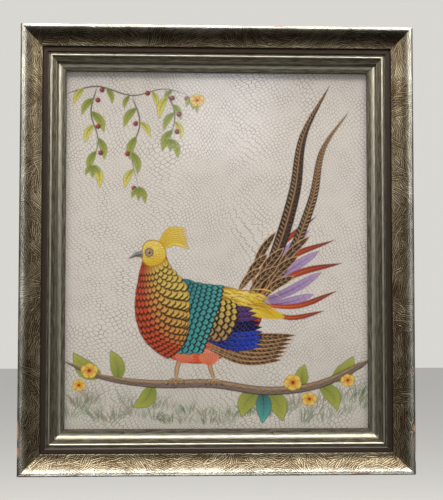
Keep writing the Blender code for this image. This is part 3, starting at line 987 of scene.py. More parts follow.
def feather(painting, spine, width, body, edge, shaft=None, barbs=0, blunt=0.6, rim=0.55):
    """A feather with a rim of another colour, a shaft and the slanted lines of its barbs."""
    length = float(np.hypot(*(np.array(spine[-1]) - np.array(spine[0]))))
    painting.add(blade(spine, width, 0.62, blunt), edge)
    tip = 1 - min(0.4, 1.7 * rim / length)
    painting.add(blade(spine, width - 2 * rim, 0.62, blunt, reach=(0.0, tip)), body)
    path = through(spine, 41)
    for index in range(barbs):
        at = 3 + int(33 * index / barbs)
        base, way = path[at], path[at + 3] - path[at]
        way = way / np.hypot(*way)
        for side in (-1, 1):
            out = way * 0.75 + side * np.array([-way[1], way[0]]) * 0.5
            stroke(painting, [base, base + out * width * 0.72], 0.5, edge, 0.4, 4)
    if shaft:
        painting.add(blade(spine, max(0.55, width * 0.09), 0.1, 0.8, reach=(0.0, tip)), shaft)


def overlapping(painting, lines, rows, count, reach, body_at, edge, rim=0.6):
    """Rows of small feathers over a patch, each row lying over the one behind it.

    The lines run along the feathers' way, and the patch is spread smoothly across them.
    body_at gives a feather's shade from its place along and across the patch, base and tip.
    """
    fine = 40
    along = np.stack([through(line, fine + 1) for line in lines])
    patch = np.stack([through(along[:, index], fine + 1) for index in range(fine + 1)])

    def spot(s, t):
        i, j = min(max(s, 0), 1) * fine, min(max(t, 0), 1) * fine
        p, q = min(int(i), fine - 1), min(int(j), fine - 1)
        a, b = i - p, j - q
        low = patch[p, q] * (1 - a) + patch[p + 1, q] * a
        high = patch[p, q + 1] * (1 - a) + patch[p + 1, q + 1] * a
        return low * (1 - b) + high * b

    for row in reversed(range(rows)):
        s = row / rows * (1 - reach * 0.6)
        for index in range(count + row % 2):
            t = (index + 0.5 - 0.5 * (row % 2)) / count
            base, tip = spot(s, t), spot(s + reach, t)
            side = spot(s + reach / 2, t + 0.5 / count) - spot(s + reach / 2, t - 0.5 / count)
            width = float(np.hypot(*side)) * (1.3 if 0 < t < 1 else 1.6)
            spine = [tuple(base), tuple((base + tip) / 2), tuple(tip)]
            painting.add(blade(spine, width, 0.7, 0.42, steps=8), edge)
            body = body_at(s, t, base, tip)
            inner = blade(spine, width - rim, 0.7, 0.42, (0.0, 1 - min(0.4, rim / 6)), 8)
            painting.add(inner, body)
            stroke(painting, [base, base * 0.2 + tip * 0.8], 0.5, edge, 0.2, 4)


def leaf(painting, base, tip, width, bend, light, dark, veins=5, outline="fern"):
    """A leaf in two halves of unlike green, with a midrib, side veins and a thin outline."""
    spine = bowed(base, tip, bend)
    painting.add(blade(spine, width + 0.7, 0.42, 0.95), wash(outline, 0.85))
    painting.add(blade(spine, width, 0.42, 0.95, reach=(0.0, 0.97)), fade(dark, light, base, tip))
    ring = blade(spine, width, 0.42, 0.95, reach=(0.0, 0.97))
    middle = [tuple(p) for p in through(spine, 61)[np.linspace(58, 0, 11).astype(int)]]
    painting.add(ring[:11] + middle[1:-1], fade(light, dark, tip, base, 0.55))
    path = through(spine, 41)
    for index in range(veins):
        at = 6 + int(26 * index / veins)
        way = path[at + 2] - path[at]
        way = way / np.hypot(*way)
        for side in (-1, 1):
            out = way * 0.8 + side * np.array([-way[1], way[0]]) * 0.6
            vein = [path[at], path[at] + out * width * 0.45]
            stroke(painting, vein, 0.4, wash(outline, 0.6), 0.3, 4)
    stroke(painting, spine, 0.7, wash(outline, 0.9), 0.1, 9)


def disc(middle, radius, flat=1.0, sides=14):
    x, y = middle
    turns = [2 * math.pi * index / sides for index in range(sides)]
    return [(x + radius * math.cos(a), y + radius * flat * math.sin(a)) for a in turns]


def berry(painting, middle, radius):
    x, y = middle
    painting.add(disc(middle, radius), wash("wine"))
    painting.add(disc((x - 0.15 * radius, y + 0.15 * radius), radius * 0.78), wash("berry"))
    glint = disc((x - 0.35 * radius, y + 0.35 * radius), radius * 0.25, sides=7)
    painting.add(glint, wash("coral", 0.8))


def blossom(painting, middle, size, turn):
    """Five notched petals round a tuft of stamens."""
    x, y = middle
    for petal in range(5):
        angle = turn + petal * 2 * math.pi / 5
        tip = (x + size * math.cos(angle), y + size * 0.85 * math.sin(angle))
        painting.add(blade([middle, tip], size * 0.95, 0.68, 0.4, steps=9), wash("ochre", 0.9))
        ring = blade([middle, tip], size * 0.82, 0.68, 0.4, (0.04, 0.94), 9)
        painting.add(ring, fade("amber", "straw", middle, tip))
        vein = [middle, ((x + tip[0]) / 2, (y + tip[1]) / 2)]
        stroke(painting, vein, 0.5, wash("brick", 0.7), steps=4)
    painting.add(disc(middle, size * 0.2, sides=9), wash("brick"))


def paint_grass(painting):
    """Fans of fine strokes along the bottom, taller to both sides."""
    chance = np.random.default_rng(3)
    fans = 64
    for fan in range(fans):
        x = -142 + 284 * (fan + chance.uniform(-0.5, 0.5)) / (fans - 1)
        outer = abs(x) / 142
        y = -171 + chance.uniform(0, 20) * (0.5 + 0.9 * outer)
        lean = chance.uniform(-0.5, 0.5)
        tint = ("grass", "straw_grass", "fern", "grass")[fan % 4]
        for _ in range(int(chance.integers(10, 17))):
            turn = lean + chance.uniform(-0.8, 0.8)
            length = chance.uniform(9, 19) * (0.7 + 0.7 * outer)
            start = (x + 5 * turn + chance.uniform(-1.5, 1.5), y + chance.uniform(-2.5, 1.5))
            end = (start[0] + length * math.sin(turn), start[1] + length * math.cos(turn))
            # No stroke runs past the tile's edges
            start, end = ((min(150, max(-150, p)), max(-177, q)) for p, q in (start, end))
            shade = wash(tint, chance.uniform(0.45, 0.85))
            stroke(painting, bowed(start, end, 0.16 * turn), 0.75, shade, 0.25, 6)


def paint_branch(painting):
    """The branch that the bird stands on, with its twigs, leaves and blossoms."""
    for base, tip, width, bend in (
        ((-112, -124), (-140, -100), 17, 0.12),
        ((-96, -128), (-104, -98), 14, -0.1),
        ((-62, -131), (-82, -154), 15, 0.15),
        ((40, -138), (24, -164), 17, -0.14),
        ((48, -138), (64, -168), 18, 0.12),
        ((100, -132), (118, -158), 15, 0.15),
        ((112, -128), (134, -104), 16, -0.12),
        ((84, -135), (86, -112), 13, 0.1),
    ):
        leaf(painting, base, tip, width, bend, "leaf", "moss", veins=6)
    leaf(painting, (44, -138), (44, -170), 15, 0.05, "teal", "shadow", veins=6, outline="ink")
    spine = [(-151, -108), (-112, -124), (-62, -131), (-5, -131), (48, -138), (100, -132)]
    spine.append((151, -108))
    painting.add(blade(spine, 8.4, 0.5, 0.14, steps=31), wash("sepia"))
    painting.add(blade([(x, y + 0.2) for x, y in spine], 7.0, 0.5, 0.14, steps=31), wash("bark"))
    lit = [(x, y + 1.9) for x, y in spine]
    painting.add(blade(lit, 2.4, 0.5, 0.3, steps=31), wash("tan", 0.6))
    path = through(spine, 121)
    chance = np.random.default_rng(8)
    for index in range(3, 116):
        start = path[index] + (0, chance.uniform(-3.2, 3.0))
        end = path[index + 3] + (0, chance.uniform(-3.2, 3.0)) * np.array([0, 1])
        stroke(painting, [start, start * 0.4 + end * 0.6], 0.5, wash("sepia", 0.75), 0.4, 5)
    for middle, size, turn in (
        ((-124, -118), 9, 0.3),
        ((-134, -132), 7, 1.0),
        ((74, -130), 9.5, 0.8),
        ((90, -146), 8, 0.1),
        ((128, -128), 7.5, 0.5),
    ):
        blossom(painting, middle, size, turn)


def paint_spray(painting):
    """A twig that hangs in from the upper left, with lance-shaped leaves and dark berries."""
    twigs = (
        [(-150, 152), (-118, 160), (-84, 151), (-52, 158), (-24, 150)],
        [(-118, 160), (-124, 134), (-117, 108), (-122, 82)],
        [(-84, 151), (-76, 124), (-84, 94), (-77, 60)],
        [(-52, 158), (-42, 134), (-46, 108)],
    )
    for twig in twigs:
        painting.add(blade(twig, 1.5, 0.2, 0.6, steps=19), wash("bark"))
        stroke(painting, twig, 0.5, wash("sepia", 0.8), 0.2, 19)
    chance = np.random.default_rng(5)
    for number, twig in enumerate(twigs):
        path = through(twig, 61)
        for index, at in enumerate(range(9, 61, 10)):
            side = 1 if index % 2 else -1
            base = path[at]
            length = chance.uniform(17, 26) if number else chance.uniform(14, 20)
            angle = -math.pi / 2 + side * chance.uniform(0.25, 0.6)
            tip = (base[0] + length * math.cos(angle), base[1] + length * math.sin(angle))
            tint = ("leaf", "moss") if (index + number) % 3 else ("straw", "leaf")
            leaf(painting, tuple(base), tip, length * 0.3, side * 0.12, *tint, veins=4)
            if (index + number) % 2:
                spot = (base[0] - side * 4.2, base[1] - 2.0)
                stroke(painting, [tuple(base), spot], 0.6, wash("bark"), steps=4)
                berry(painting, spot, 2.6)
        for side in (-1, 0, 1):
            end = path[-1]
            tip = (end[0] + side * 7, end[1] - 13 + abs(side) * 3)
            leaf(painting, tuple(end), tip, 4.6, side * 0.1, "leaf", "moss", veins=3)
    blossom(painting, (-20, 147), 7.5, 0.4)


def paint_tail(painting):
    """Side plumes, the long barred feathers and the coverts over their roots."""
    root = (36, -54)
    plumes = (
        ("lilac", (91, 20), 9.5, 0.06),
        ("red", (99, 34), 5.5, 0.12),
        ("lilac", (101, -1), 9.5, 0.05),
        ("red", (117, 10), 6.0, 0.14),
        ("lilac", (103, -22), 9.0, -0.04),
        ("red", (124, -13), 6.5, 0.1),
        ("lilac", (95, -44), 9.0, -0.06),
        ("red", (119, -40), 5.5, -0.1),
        ("red", (106, -60), 5.0, -0.14),
    )
    for kind, tip, width, bend in plumes:
        spine = bowed(root, tip, bend)
        if kind == "lilac":
            body = fade("mauve", "lilac", root, tip)
            feather(painting, spine, width, body, wash("mauve"), wash("violet"), 9)
        else:
            body = fade("vermilion", "maroon", root, tip)
            shaft = wash("amber", 0.8)
            feather(painting, spine, width, body, wash("maroon"), shaft, blunt=1.0, rim=0.4)
    long_ones = (
        ([(40, -56), (72, -6), (94, 50), (104, 98), (131, 138)], 9.5),
        ([(34, -52), (58, -4), (76, 56), (85, 112), (112, 164)], 13.0),
    )
    for spine, width in long_ones:
        painting.add(blade(spine, width, 0.3, 0.85, steps=33), wash("black"))
        painting.add(blade(spine, width - 1.4, 0.3, 0.85, steps=33), wash("sepia"))
        path = through(spine, 181)
        for at in range(24, 170, 3):
            share = at / 180
            reach = width / 2 * math.cos(max(0, share - 0.3) / 0.7 * math.pi / 2) ** 0.85
            way = path[at + 4] - path[at]
            way = way / np.hypot(*way)
            across = np.array([-way[1], way[0]])
            left = [path[at] + across * 0.8, path[at] + across * reach * 0.86 + way * 3.2]
            stroke(painting, left, 1.0, wash("tan", 0.8), 0.5, 5)
            right = [path[at] - across * 0.8, path[at] - across * reach * 0.86 + way * 3.2]
            stroke(painting, right, 1.0, wash("umber" if width > 10 else "tan", 0.95), 0.5, 5)
        painting.add(blade(spine, 1.3, 0.1, 0.5, steps=33), wash("tan"))
        painting.add(blade(spine, 0.5, 0.1, 0.5, steps=33), wash("umber"))
    for tip, base, width in (
        ((92, 14), (52, -36), 8.0),
        ((58, 18), (34, -34), 8.5),
        ((80, -6), (46, -42), 9.0),
        ((66, 2), (38, -38), 9.5),
        ((50, -4), (26, -38), 8.5),
        ((76, -26), (42, -50), 8.5),
        ((60, -16), (30, -46), 9.0),
        ((44, -18), (20, -42), 7.5),
    ):
        spine = bowed(base, tip, 0.08)
        body = fade("umber", "black", base, tip)
        feather(painting, spine, width, body, wash("tan"), wash("tan"), 6, 0.7, 0.8)


def paint_body(painting):
    """The body's ground colour, its thighs and legs, and the yellow rump."""
    outline = [(-52, -2), (-44, -20), (-28, -32), (-5, -36), (18, -41), (38, -52), (44, -66)]
    outline += [(34, -84), (14, -101), (-12, -111), (-38, -109), (-58, -98), (-73, -80), (-79, -60)]
    outline += [(-77, -42), (-74, -26), (-73, -10), (-62, 2)]
    for top, foot in (((-36, -106), (-40, -126)), ((-8, -108), (-3, -127))):
        knee = ((top[0] + foot[0]) / 2 - 1, -116)
        for width, tint in ((4.4, "sepia"), (3.2, "tan")):
            painting.add(blade([top, knee, foot], width, 0.2, 0.2), wash(tint))
        for spread in (-9, -3.5, 2.5, 9):
            toe = [foot, (foot[0] + spread * 0.6, foot[1] - 1.5), (foot[0] + spread, foot[1] - 6.5)]
            painting.add(blade(toe, 2.6, 0.3, 0.8), wash("sepia"))
            painting.add(blade(toe, 1.7, 0.3, 0.8, reach=(0.0, 0.85)), wash("tan"))
    ring = through(outline, 90, closed=True)
    painting.add(ring, wash("maroon"))
    inner = [(x * 0.985 - 0.3, (y + 60) * 0.985 - 60) for x, y in ring]
    painting.add(inner, fade("brick", "vermilion", (20, -60), (-20, -112)))
    chance = np.random.default_rng(12)
    for index in range(150):
        x = chance.uniform(-66, 30)
        low = -112 + 0.012 * (x + 18) ** 2
        start = (x, low + chance.uniform(3, 24))
        end = (x + chance.uniform(5, 11), start[1] - chance.uniform(-1, 3.5))
        tint = ("coral", "brick", "amber", "vermilion")[index % 4]
        if start[1] < -84:
            stroke(painting, bowed(start, end, -0.1), 1.1, wash(tint, 0.7), 0.4, 5)
    for middle, size in (((-32, -104), 9), ((-8, -105), 10)):
        shade = fade("coral", "vermilion", middle, (middle[0], middle[1] - 9), 0.9)
        painting.add(disc(middle, size, 0.8), shade)
        for index in range(12):
            x = middle[0] - size + 2 * size * index / 11
            tuft = [(x, -100), (x + 1.5, -111 + 0.05 * (x - middle[0]) ** 2)]
            stroke(painting, tuft, 0.8, wash("brick", 0.6))
    rump = [(0, -36), (26, -41), (48, -54), (66, -66), (50, -68), (22, -62), (0, -52)]
    painting.add(through(rump, 50, closed=True), fade("ochre", "gold", (0, -40), (40, -60)))
    for index in range(70):
        start = (chance.uniform(-2, 34), chance.uniform(-60, -39))
        far = chance.uniform(16, 34)
        end = (start[0] + far, start[1] - far * chance.uniform(0.15, 0.55))
        tint = ("straw", "gold", "straw", "ochre")[index % 4]
        stroke(painting, bowed(start, end, 0.12), 1.2, wash(tint, 0.9), 0.4, 6)


def paint_wing(painting):
    """Brown primaries, blue secondaries and the scalloped coverts."""
    for index in range(7):
        share = index / 6
        base = (-14 + 8 * share, -94 + 26 * share)
        tip = (64 + 14 * share, -108 + 24 * share)
        spine, body = bowed(base, tip, -0.1), fade("umber", "sepia", base, tip)
        feather(painting, spine, 7.6, body, wash("tan"), wash("tan"), 14, 0.75, 0.7)
    for index in range(9):
        share = index / 8
        base = (-12 + 6 * share, -88 + 38 * share)
        tip = (44 + 10 * share - 18 * share**2, -94 + 36 * share)
        tint = ("blue", "blue", "night", "violet")[min(3, index // 2)]
        spine, body = bowed(base, tip, -0.09), fade("night", tint, base, tip)
        feather(painting, spine, 6.6, body, wash("black"), wash(tint), 8, 0.6, 0.6)
        stroke(painting, bowed((base[0] + 6, base[1] + 1.4), tip, -0.09), 0.9, wash(tint), 0.5, 8)
    lines = (
        [(-12, -48), (4, -49), (20, -54)],
        [(-16, -60), (2, -61), (22, -65)],
        [(-20, -72), (0, -74), (18, -77)],
        [(-24, -84), (-6, -87), (10, -88)],
    )

    def covert(s, t, base, tip):
        return fade(mixed("ochre", "umber", t), mixed("straw", "tan", t), base, tip)

    overlapping(painting, lines, 5, 6, 0.4, covert, wash("sepia"), 1.0)


def paint_neck(painting):
    """The teal shoulder and the scalloped gold and red neck."""
    shoulder = (
        [(-34, -27), (-24, -33), (-10, -35), (8, -37)],
        [(-40, -44), (-30, -50), (-14, -53), (4, -55)],
        [(-46, -66), (-36, -73), (-22, -77), (-4, -78)],
        [(-50, -90), (-42, -98), (-30, -101), (-12, -99)],
    )

    def teal(s, t, base, tip):
        return fade(mixed("ink", "sea", 0.4 + 0.5 * s), mixed("sea", "teal", 0.3 + s), base, tip)

    overlapping(painting, shoulder, 8, 13, 0.3, teal, wash("ink"), 0.8)
    neck = (
        [(-74, -12), (-77, -32), (-80, -54), (-76, -78), (-64, -96), (-46, -107)],
        [(-69, -12), (-69, -32), (-69, -54), (-64, -76), (-54, -92), (-38, -101)],
        [(-62, -11), (-59, -30), (-55, -49), (-49, -68), (-42, -84), (-32, -94)],
        [(-51, -6), (-46, -20), (-36, -30), (-30, -46), (-30, -64), (-30, -80)],
    )

    def gilded(s, t, base, tip):
        red = 1.25 - 1.7 * t + 0.7 * s
        return fade(mixed("ochre", "brick", red), mixed("straw", "vermilion", red), base, tip)

    overlapping(painting, neck, 16, 9, 0.16, gilded, wash("sepia", 0.9), 0.9)


def paint_head(painting):
    """Crest, cheek, eye and beak."""
    for index in range(9):
        share = index / 8
        base = (-58 + 3 * share, 6 - 7 * share)
        tip = (-30 + 3 * share, 20 - 20 * share)
        spine, body = bowed(base, tip, 0.22), fade("gold", "straw", base, tip)
        feather(painting, spine, 4.2, body, wash("ochre"), blunt=1.0)
    skull = [(-74, -3), (-72, 5), (-66, 9), (-57, 8), (-51, 1), (-50, -8), (-56, -15)]
    skull += [(-66, -17), (-73, -12)]
    painting.add(through(skull, 40, closed=True), wash("ochre"))
    inner = [((x + 62) * 0.93 - 62, (y + 4) * 0.93 - 4) for x, y in skull]
    shade = fade("gold", "straw", (-62, -14), (-62, 6))
    painting.add(through(inner, 40, closed=True), shade)
    for index in range(26):
        share = index / 25
        start = (-72 + 6 * (index % 3), 5 - 19 * share)
        end = (start[0] + 11, start[1] + 2.5 - 7 * share)
        if math.hypot(start[0] + 68, start[1] + 3) > 4:
            shade = wash(("ochre", "amber")[index % 2], 0.7)
            stroke(painting, bowed(start, end, 0.15), 0.6, shade, 0.4, 5)
    for top, low, tint in ((1.3, -1.0, "grey"), (-1.4, -3.6, "bark")):
        upper = [(-72.5, -3 + top), (-79, -4.2 + top * 0.7)]
        lower = [(-79, -5.2 + low * 0.7), (-72.5, -5 + low)]
        painting.add([*upper, (-88, -10), *lower], wash(tint))
    stroke(painting, [(-72.5, -5.2), (-80, -6.2), (-88, -10)], 0.7, wash("black"), 0.3, 9)
    stroke(painting, [(-72.5, -1.6), (-80, -3.6), (-88, -10)], 0.6, wash("sepia"), 0.3, 9)
    for radius, tint in ((4.4, "sepia"), (3.7, "grey"), (2.5, "amber"), (1.6, "black")):
        painting.add(disc((-66.5, -3.2), radius), wash(tint))
    painting.add(disc((-67.1, -2.5), 0.55, sides=7), wash("white"))


def paint_picture(painting):
    """The whole picture, from what lies behind to what lies in front."""
    for part in (
        paint_grass,
        paint_branch,
        paint_tail,
        paint_body,
        paint_wing,
        paint_neck,
        paint_head,
        paint_spray,
    ):
        part(painting)


class PLAQUE_OT_painted_tile(bpy.types.Operator):
    """Make the glazed tile with its painting as one closed mesh"""

    bl_idname = "plaque.painted_tile"
    bl_label = "Painted tile"

    def execute(self, context):
        settings = context.scene.plaque_glaze
        low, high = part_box("ceramic_plaque")
        middle = (low + high) / 2
        bevel = settings.bevel
        half_width, half_height = (high.x - low.x) / 2 - bevel, (high.z - low.z) / 2 - bevel
        canvas = Canvas(half_width / MM, half_height / MM, settings.paint_spacing / MM)
        paint_picture(canvas)
        points = canvas.points()
        cells = canvas.cells(points, settings.paint_tolerance)

        used = np.zeros(points.shape[:2], dtype=bool)
        for row, column, size in cells:
            used[row : row + size + 1 : size, column : column + size + 1 : size] = True
        number = np.cumsum(used).reshape(used.shape) - 1

        def run(rows, columns):
            """The vertices in use along a line of lattice points, without the last one."""
            return number[rows, columns][used[rows, columns]][:-1].tolist()

        def outline(row, column, height, width):
            """The four sides of a block of the lattice, each as its vertices in use."""
            across = np.arange(column, column + width + 1)
            up = np.arange(row, row + height + 1)
            bottom = run(np.full(len(across), row), across)
            right = run(up, np.full(len(up), column + width))
            top = run(np.full(len(across), row + height), across[::-1])
            return [bottom, right, top, run(up[::-1], np.full(len(up), column))]

        polygons = []
        for row, column, size in cells:
            if size == 1:
                (a, b), (d, c) = number[row : row + 2, column : column + 2]
                polygons.append([a, b, c, d])
            else:
                polygons.append(sum(outline(row, column, size, size), []))
        glazed = len(polygons)
        rows, columns = np.nonzero(used)
        spots = canvas.low + np.stack([columns, rows], axis=1) * canvas.step
        verts = [(middle.x + u * MM, low.y, middle.z + v * MM) for u, v in spots]
        sides = outline(0, 0, canvas.rows, canvas.columns)
        # Rings round the tile: halfway over its front arris, both ends of its edge, and its back
        for out, y in (
            (0.7 * bevel, low.y + 0.3 * bevel),
            (bevel, low.y + bevel),
            (bevel, high.y - bevel),
            (0.0, high.y),
        ):
            corners = list(range(len(verts), len(verts) + 4))
            for right, up in ((-1, -1), (1, -1), (1, 1), (-1, 1)):
                x = middle.x + right * (half_width + out)
                verts.append((x, y, middle.z + up * (half_height + out)))
            for index in range(4):
                after = (index + 1) % 4
                polygons.append(sides[index] + [sides[after][0], corners[after], corners[index]])
            sides = [[corner] for corner in corners]
        polygons.append([corner for side in sides for corner in side][::-1])
        mesh = bpy.data.meshes.new("painted_tile")
        mesh.from_pydata(verts, [], polygons)
        mesh.materials.append(crackle_glaze(settings))
        mesh.materials.append(biscuit_body(settings))
        # The two rings of the arris are glazed as the face is, with four sides each
        for index in range(glazed + 2 * 4, len(polygons)):
            mesh.polygons[index].material_index = 1
        layer = mesh.color_attributes.new("paint", "FLOAT_COLOR", "POINT")
        values = np.zeros((len(verts), 4), dtype=np.float32)
        values[: len(spots)] = points[used]
        layer.data.foreach_set("color", values.ravel())
        cover = mesh.attributes.new("cover", "FLOAT", "POINT")
        cover.data.foreach_set("value", values[:, 3].copy())
        mesh.update()
        if mesh.polygons[0].normal.y > 0:
            raise RuntimeError("the painted face looks at the wall")
        piece = bpy.data.objects.new("painted_tile", mesh)
        bpy.context.scene.collection.objects.link(piece)
        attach(piece, "root")
        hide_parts("ceramic_plaque")
        return {"FINISHED"}


def hardboard(settings):
    """Brown hardboard, pressed from wet fibre: matt with short darker fibres."""
    material, tree = new_material("Pressed hardboard")
    place = add_node(tree, "TexCoord")["Object"]
    # Fibres about 4 mm long and 0.6 mm wide, and clouds of 40 mm
    stretch = add_node(tree, "Mapping", place, links={"Scale": (1.0, 1.0, 0.16)})[0]
    fibre = add_node(tree, "TexNoise", links={"Vector": stretch, "Scale": 1500.0, "Detail": 3.0})[0]
    cloud = add_node(tree, "TexNoise", links={"Vector": place, "Scale": 25.0, "Detail": 3.0})[0]
    fibres = add_node(tree, "MapRange", fibre, 0.35, 0.7, 0, 0.6)[0]
    clouds = add_node(tree, "MapRange", cloud, 0.3, 0.7, -0.1, 0.3)[0]
    share = add_node(tree, "Math", fibres, clouds, operation="ADD")[0]
    dark = tuple(0.55 * part for part in settings.board)
    colour = add_node(tree, "Mix", share, links={6: settings.board, 7: dark}, data_type="RGBA")[2]
    bump = add_node(tree, "Bump", links={"Height": fibre, "Strength": 0.5, "Distance": 0.1 * MM})[0]
    links = {"Base Color": colour, "Roughness": 0.62, "Normal": bump}
    add_node(tree, "OutputMaterial", add_node(tree, "BsdfPrincipled", links=links)[0])
    return material


def zinc_plated_steel(settings):
    """Pressed steel with bright zinc plating: cool grey metal with a fine crystalline mottle."""
    material, tree = new_material("Zinc-plated pressed steel")
    place = add_node(tree, "TexCoord")["Object"]
    # Zinc crystals about 1.5 mm across
    crystal = add_node(tree, "TexVoronoi", links={"Vector": place, "Scale": 650.0})["Color"]
    shade = add_node(tree, "SeparateColor", crystal)[0]
    share = add_node(tree, "Math", shade, 0.5, operation="MULTIPLY")[0]
    dark = tuple(0.6 * part for part in settings.steel)
    colour = add_node(tree, "Mix", share, links={6: settings.steel, 7: dark}, data_type="RGBA")[2]
    rough = add_node(tree, "MapRange", shade, 0, 1, 0.28, 0.44)[0]
    links = {"Base Color": colour, "Metallic": 1.0, "Roughness": rough}
    add_node(tree, "OutputMaterial", add_node(tree, "BsdfPrincipled", links=links)[0])
    return material


class PLAQUE_OT_back_fittings(bpy.types.Operator):
    """Finish the board, the framing points, the hanger and its nails"""

    bl_idname = "plaque.back_fittings"
    bl_label = "Back board and fittings"

    def execute(self, context):
        settings = context.scene.plaque_back
        board, steel = hardboard(settings), zinc_plated_steel(settings)
        for name, node in frame["nodes"].items():
            if name == "backing_board":
                finish = board
            elif name.startswith(("framing_point", "sawtooth", "hanger_nail")):
                finish = steel
            else:
                continue
            for slot in node.material_slots:
                slot.material = finish
        return {"FINISHED"}


def aimed(place, target):
    return (Vector(target) - Vector(place)).to_track_quat("-Z", "Y")


def add_panel_light(name, place, target, width, height, power, colour, shines_on=None):
    """A soft rectangular light. It may be kept to some pieces, given as a collection."""
    light = bpy.data.lights.new(name, "AREA")
    light.shape = "RECTANGLE"
    light.size = width
    light.size_y = height
    light.energy = power
    light.color = colour
    lamp = bpy.data.objects.new(name, light)
    lamp.location = place
    lamp.rotation_mode = "QUATERNION"
    lamp.rotation_quaternion = aimed(place, target)
    lamp.visible_camera = False
    if shines_on:
        lamp.light_linking.receiver_collection = shines_on
    bpy.context.scene.collection.objects.link(lamp)


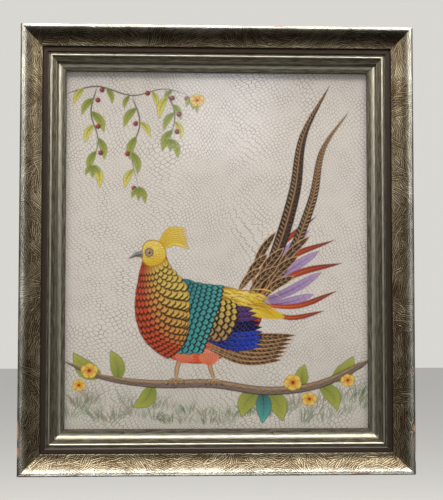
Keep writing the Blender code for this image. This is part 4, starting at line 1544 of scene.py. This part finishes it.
class PLAQUE_OT_stage(bpy.types.Operator):
    """Set the camera, the soft lights, the pale surroundings and the floor"""

    bl_idname = "plaque.stage"
    bl_label = "Camera, lights and floor"

    def execute(self, context):
        settings = context.scene.plaque_stage
        scene = context.scene
        scene.view_settings.view_transform = "Standard"

        camera = bpy.data.cameras.new("camera")
        camera.lens = settings.lens
        camera.sensor_width = 36
        viewer = bpy.data.objects.new("camera", camera)
        # A hand-held camera, a little left of the middle and below it, turned by 0.04 degrees
        viewer.location = (-0.0344, RIM_Y - settings.distance, CENTRE_Z - 0.04266)
        aim = (0.0032, RIM_Y, CENTRE_Z - 0.00165)
        viewer.rotation_mode = "QUATERNION"
        roll = Quaternion((0, 0, 1), math.radians(0.04))
        viewer.rotation_quaternion = aimed(viewer.location, aim) @ roll
        scene.collection.objects.link(viewer)
        scene.camera = viewer

        # Lamps may shine on one group alone: the glaze, the leaf, or the lowest rail
        groups = {}
        for name, start in (
            ("glazed_face", "painted_tile"),
            ("leafed_rails", ("combed_rail", "gilded_slip")),
            ("lowest_rail", "combed_rail_bottom"),
        ):
            groups[name] = bpy.data.collections.new(name)
            for piece in scene.collection.objects:
                if piece.name.startswith(start):
                    groups[name].objects.link(piece)
        glazed, leafed, lowest = groups.values()

        # Each light's place and aim in metres from the middle of the picture, its size, its power
        # in watts, its colour and its group
        middle = Vector((0, RIM_Y, CENTRE_Z))
        for name, offset, target, width, height, power, colour, shines_on in (
            ("ceiling", (0, -0.35, 1.25), (0, -0.35, 0.25), 2.4, 1.7, 64, (1, 0.985, 0.96), None),
            ("window", (0.11, -2.4, 0.72), (0, 0, 0), 0.34, 0.62, 3.3, (0.8, 0.9, 1), glazed),
            ("front_high", (0, -1.6, 1.1), (0, 0, 0), 1.3, 1.0, 1.0, (1, 0.99, 0.97), leafed),
            ("front_low", (0, -1.55, -0.5), (0, 0, 0), 1.2, 0.75, 1.35, (1, 0.98, 0.95), leafed),
            ("side_left", (-0.95, -1.0, 1.0), (0, 0, 0.15), 0.6, 0.6, 23, (1, 0.98, 0.95), leafed),
            ("side_right", (0.95, -1.0, 1.0), (0, 0, 0.15), 0.6, 0.6, 23, (1, 0.98, 0.95), leafed),
            ("front", (0, -2.3, 0.2), (0, 0, 0), 1.4, 1.0, 0.6, (1, 0.99, 0.97), leafed),
            ("below", (0, -0.24, -0.52), (0, -0.06, -0.2), 0.6, 0.3, 1.8, (0.97, 0.99, 1), lowest),
        ):
            place, goal = middle + Vector(offset), middle + Vector(target)
            add_panel_light(name, place, goal, width, height, power, colour, shines_on)

        # Shiny pieces mirror a dim room, brighter overhead, and the camera sees a pale one
        world = bpy.data.worlds.new("pale_studio")
        world.use_nodes = True
        tree = world.node_tree
        tree.nodes.clear()
        path = add_node(tree, "LightPath")
        way = add_node(tree, "SeparateXYZ", add_node(tree, "TexCoord")["Generated"])
        up = add_node(tree, "Math", way["Z"], 0.0, operation="MAXIMUM")[0]
        sky = add_node(tree, "Math", up, 2.0, operation="POWER")[0]
        shine = add_node(tree, "Math", sky, 0.3, 0.06, operation="MULTIPLY_ADD")[0]
        lit = add_node(tree, "Background", (1, 1, 1), shine)[0]
        fill = add_node(tree, "Background", (1, 1, 1), 0.36)[0]
        pale = add_node(tree, "Background", settings.floor, 1.0)[0]
        seen = add_node(tree, "MixShader", path["Is Diffuse Ray"], lit, fill)[0]
        seen = add_node(tree, "MixShader", path["Is Camera Ray"], seen, pale)[0]
        add_node(tree, "OutputWorld", seen)
        scene.world = world

        mesh = bpy.data.meshes.new("floor")
        z = OUTER_LOW - settings.drop
        mesh.from_pydata([(-6, -6, z), (6, -6, z), (6, 6, z), (-6, 6, z)], [], [(0, 1, 2, 3)])
        floor = bpy.data.objects.new("floor", mesh)
        scene.collection.objects.link(floor)
        material, tree = new_material("Matt painted floor")
        # Faint roller marks of about 30 mm
        place = add_node(tree, "TexCoord")["Object"]
        mark = add_node(tree, "TexNoise", links={"Vector": place, "Scale": 30.0, "Detail": 2.0})[0]
        dark = tuple(0.96 * part for part in settings.floor)
        colour = add_node(tree, "Mix", mark, links={6: settings.floor, 7: dark}, data_type="RGBA")[2]
        links = {"Base Color": colour, "Roughness": 0.8}
        links.update({"Emission Color": settings.floor, "Emission Strength": 0.28})
        add_node(tree, "OutputMaterial", add_node(tree, "BsdfPrincipled", links=links)[0])
        mesh.materials.append(material)
        floor.visible_glossy = False
        floor.visible_diffuse = False
        return {"FINISHED"}


class PLAQUE_PT_sidebar(bpy.types.Panel):
    """The plaque's pieces, with their sizes and colours."""

    bl_label = "Framed ceramic plaque"
    bl_idname = "PLAQUE_PT_sidebar"
    bl_space_type = "VIEW_3D"
    bl_region_type = "UI"
    bl_category = "Plaque"

    def draw(self, context):
        groups = (
            ("plaque.outer_mouldings", context.scene.plaque_moulding),
            ("plaque.slip_mouldings", context.scene.plaque_slip),
            ("plaque.painted_tile", context.scene.plaque_glaze),
            ("plaque.back_fittings", context.scene.plaque_back),
            ("plaque.stage", context.scene.plaque_stage),
        )
        for operator, settings in groups:
            box = self.layout.box()
            box.operator(operator)
            for name in type(settings).__annotations__:
                box.prop(settings, name)


SETTINGS = {
    "plaque_moulding": MouldingSettings,
    "plaque_slip": SlipSettings,
    "plaque_glaze": GlazeSettings,
    "plaque_back": BackSettings,
    "plaque_stage": StageSettings,
}
CLASSES = (
    *SETTINGS.values(),
    PLAQUE_OT_outer_mouldings,
    PLAQUE_OT_slip_mouldings,
    PLAQUE_OT_painted_tile,
    PLAQUE_OT_back_fittings,
    PLAQUE_OT_stage,
    PLAQUE_PT_sidebar,
)


def register():
    for part in CLASSES:
        bpy.utils.register_class(part)
    for name, group in SETTINGS.items():
        setattr(bpy.types.Scene, name, bpy.props.PointerProperty(type=group))


def unregister():
    for name in SETTINGS:
        delattr(bpy.types.Scene, name)
    for part in reversed(CLASSES):
        bpy.utils.unregister_class(part)


def main():
    register()
    bpy.ops.plaque.outer_mouldings()
    bpy.ops.plaque.slip_mouldings()
    bpy.ops.plaque.painted_tile()
    bpy.ops.plaque.back_fittings()
    bpy.ops.plaque.stage()


if __name__ == "__main__":
    main()
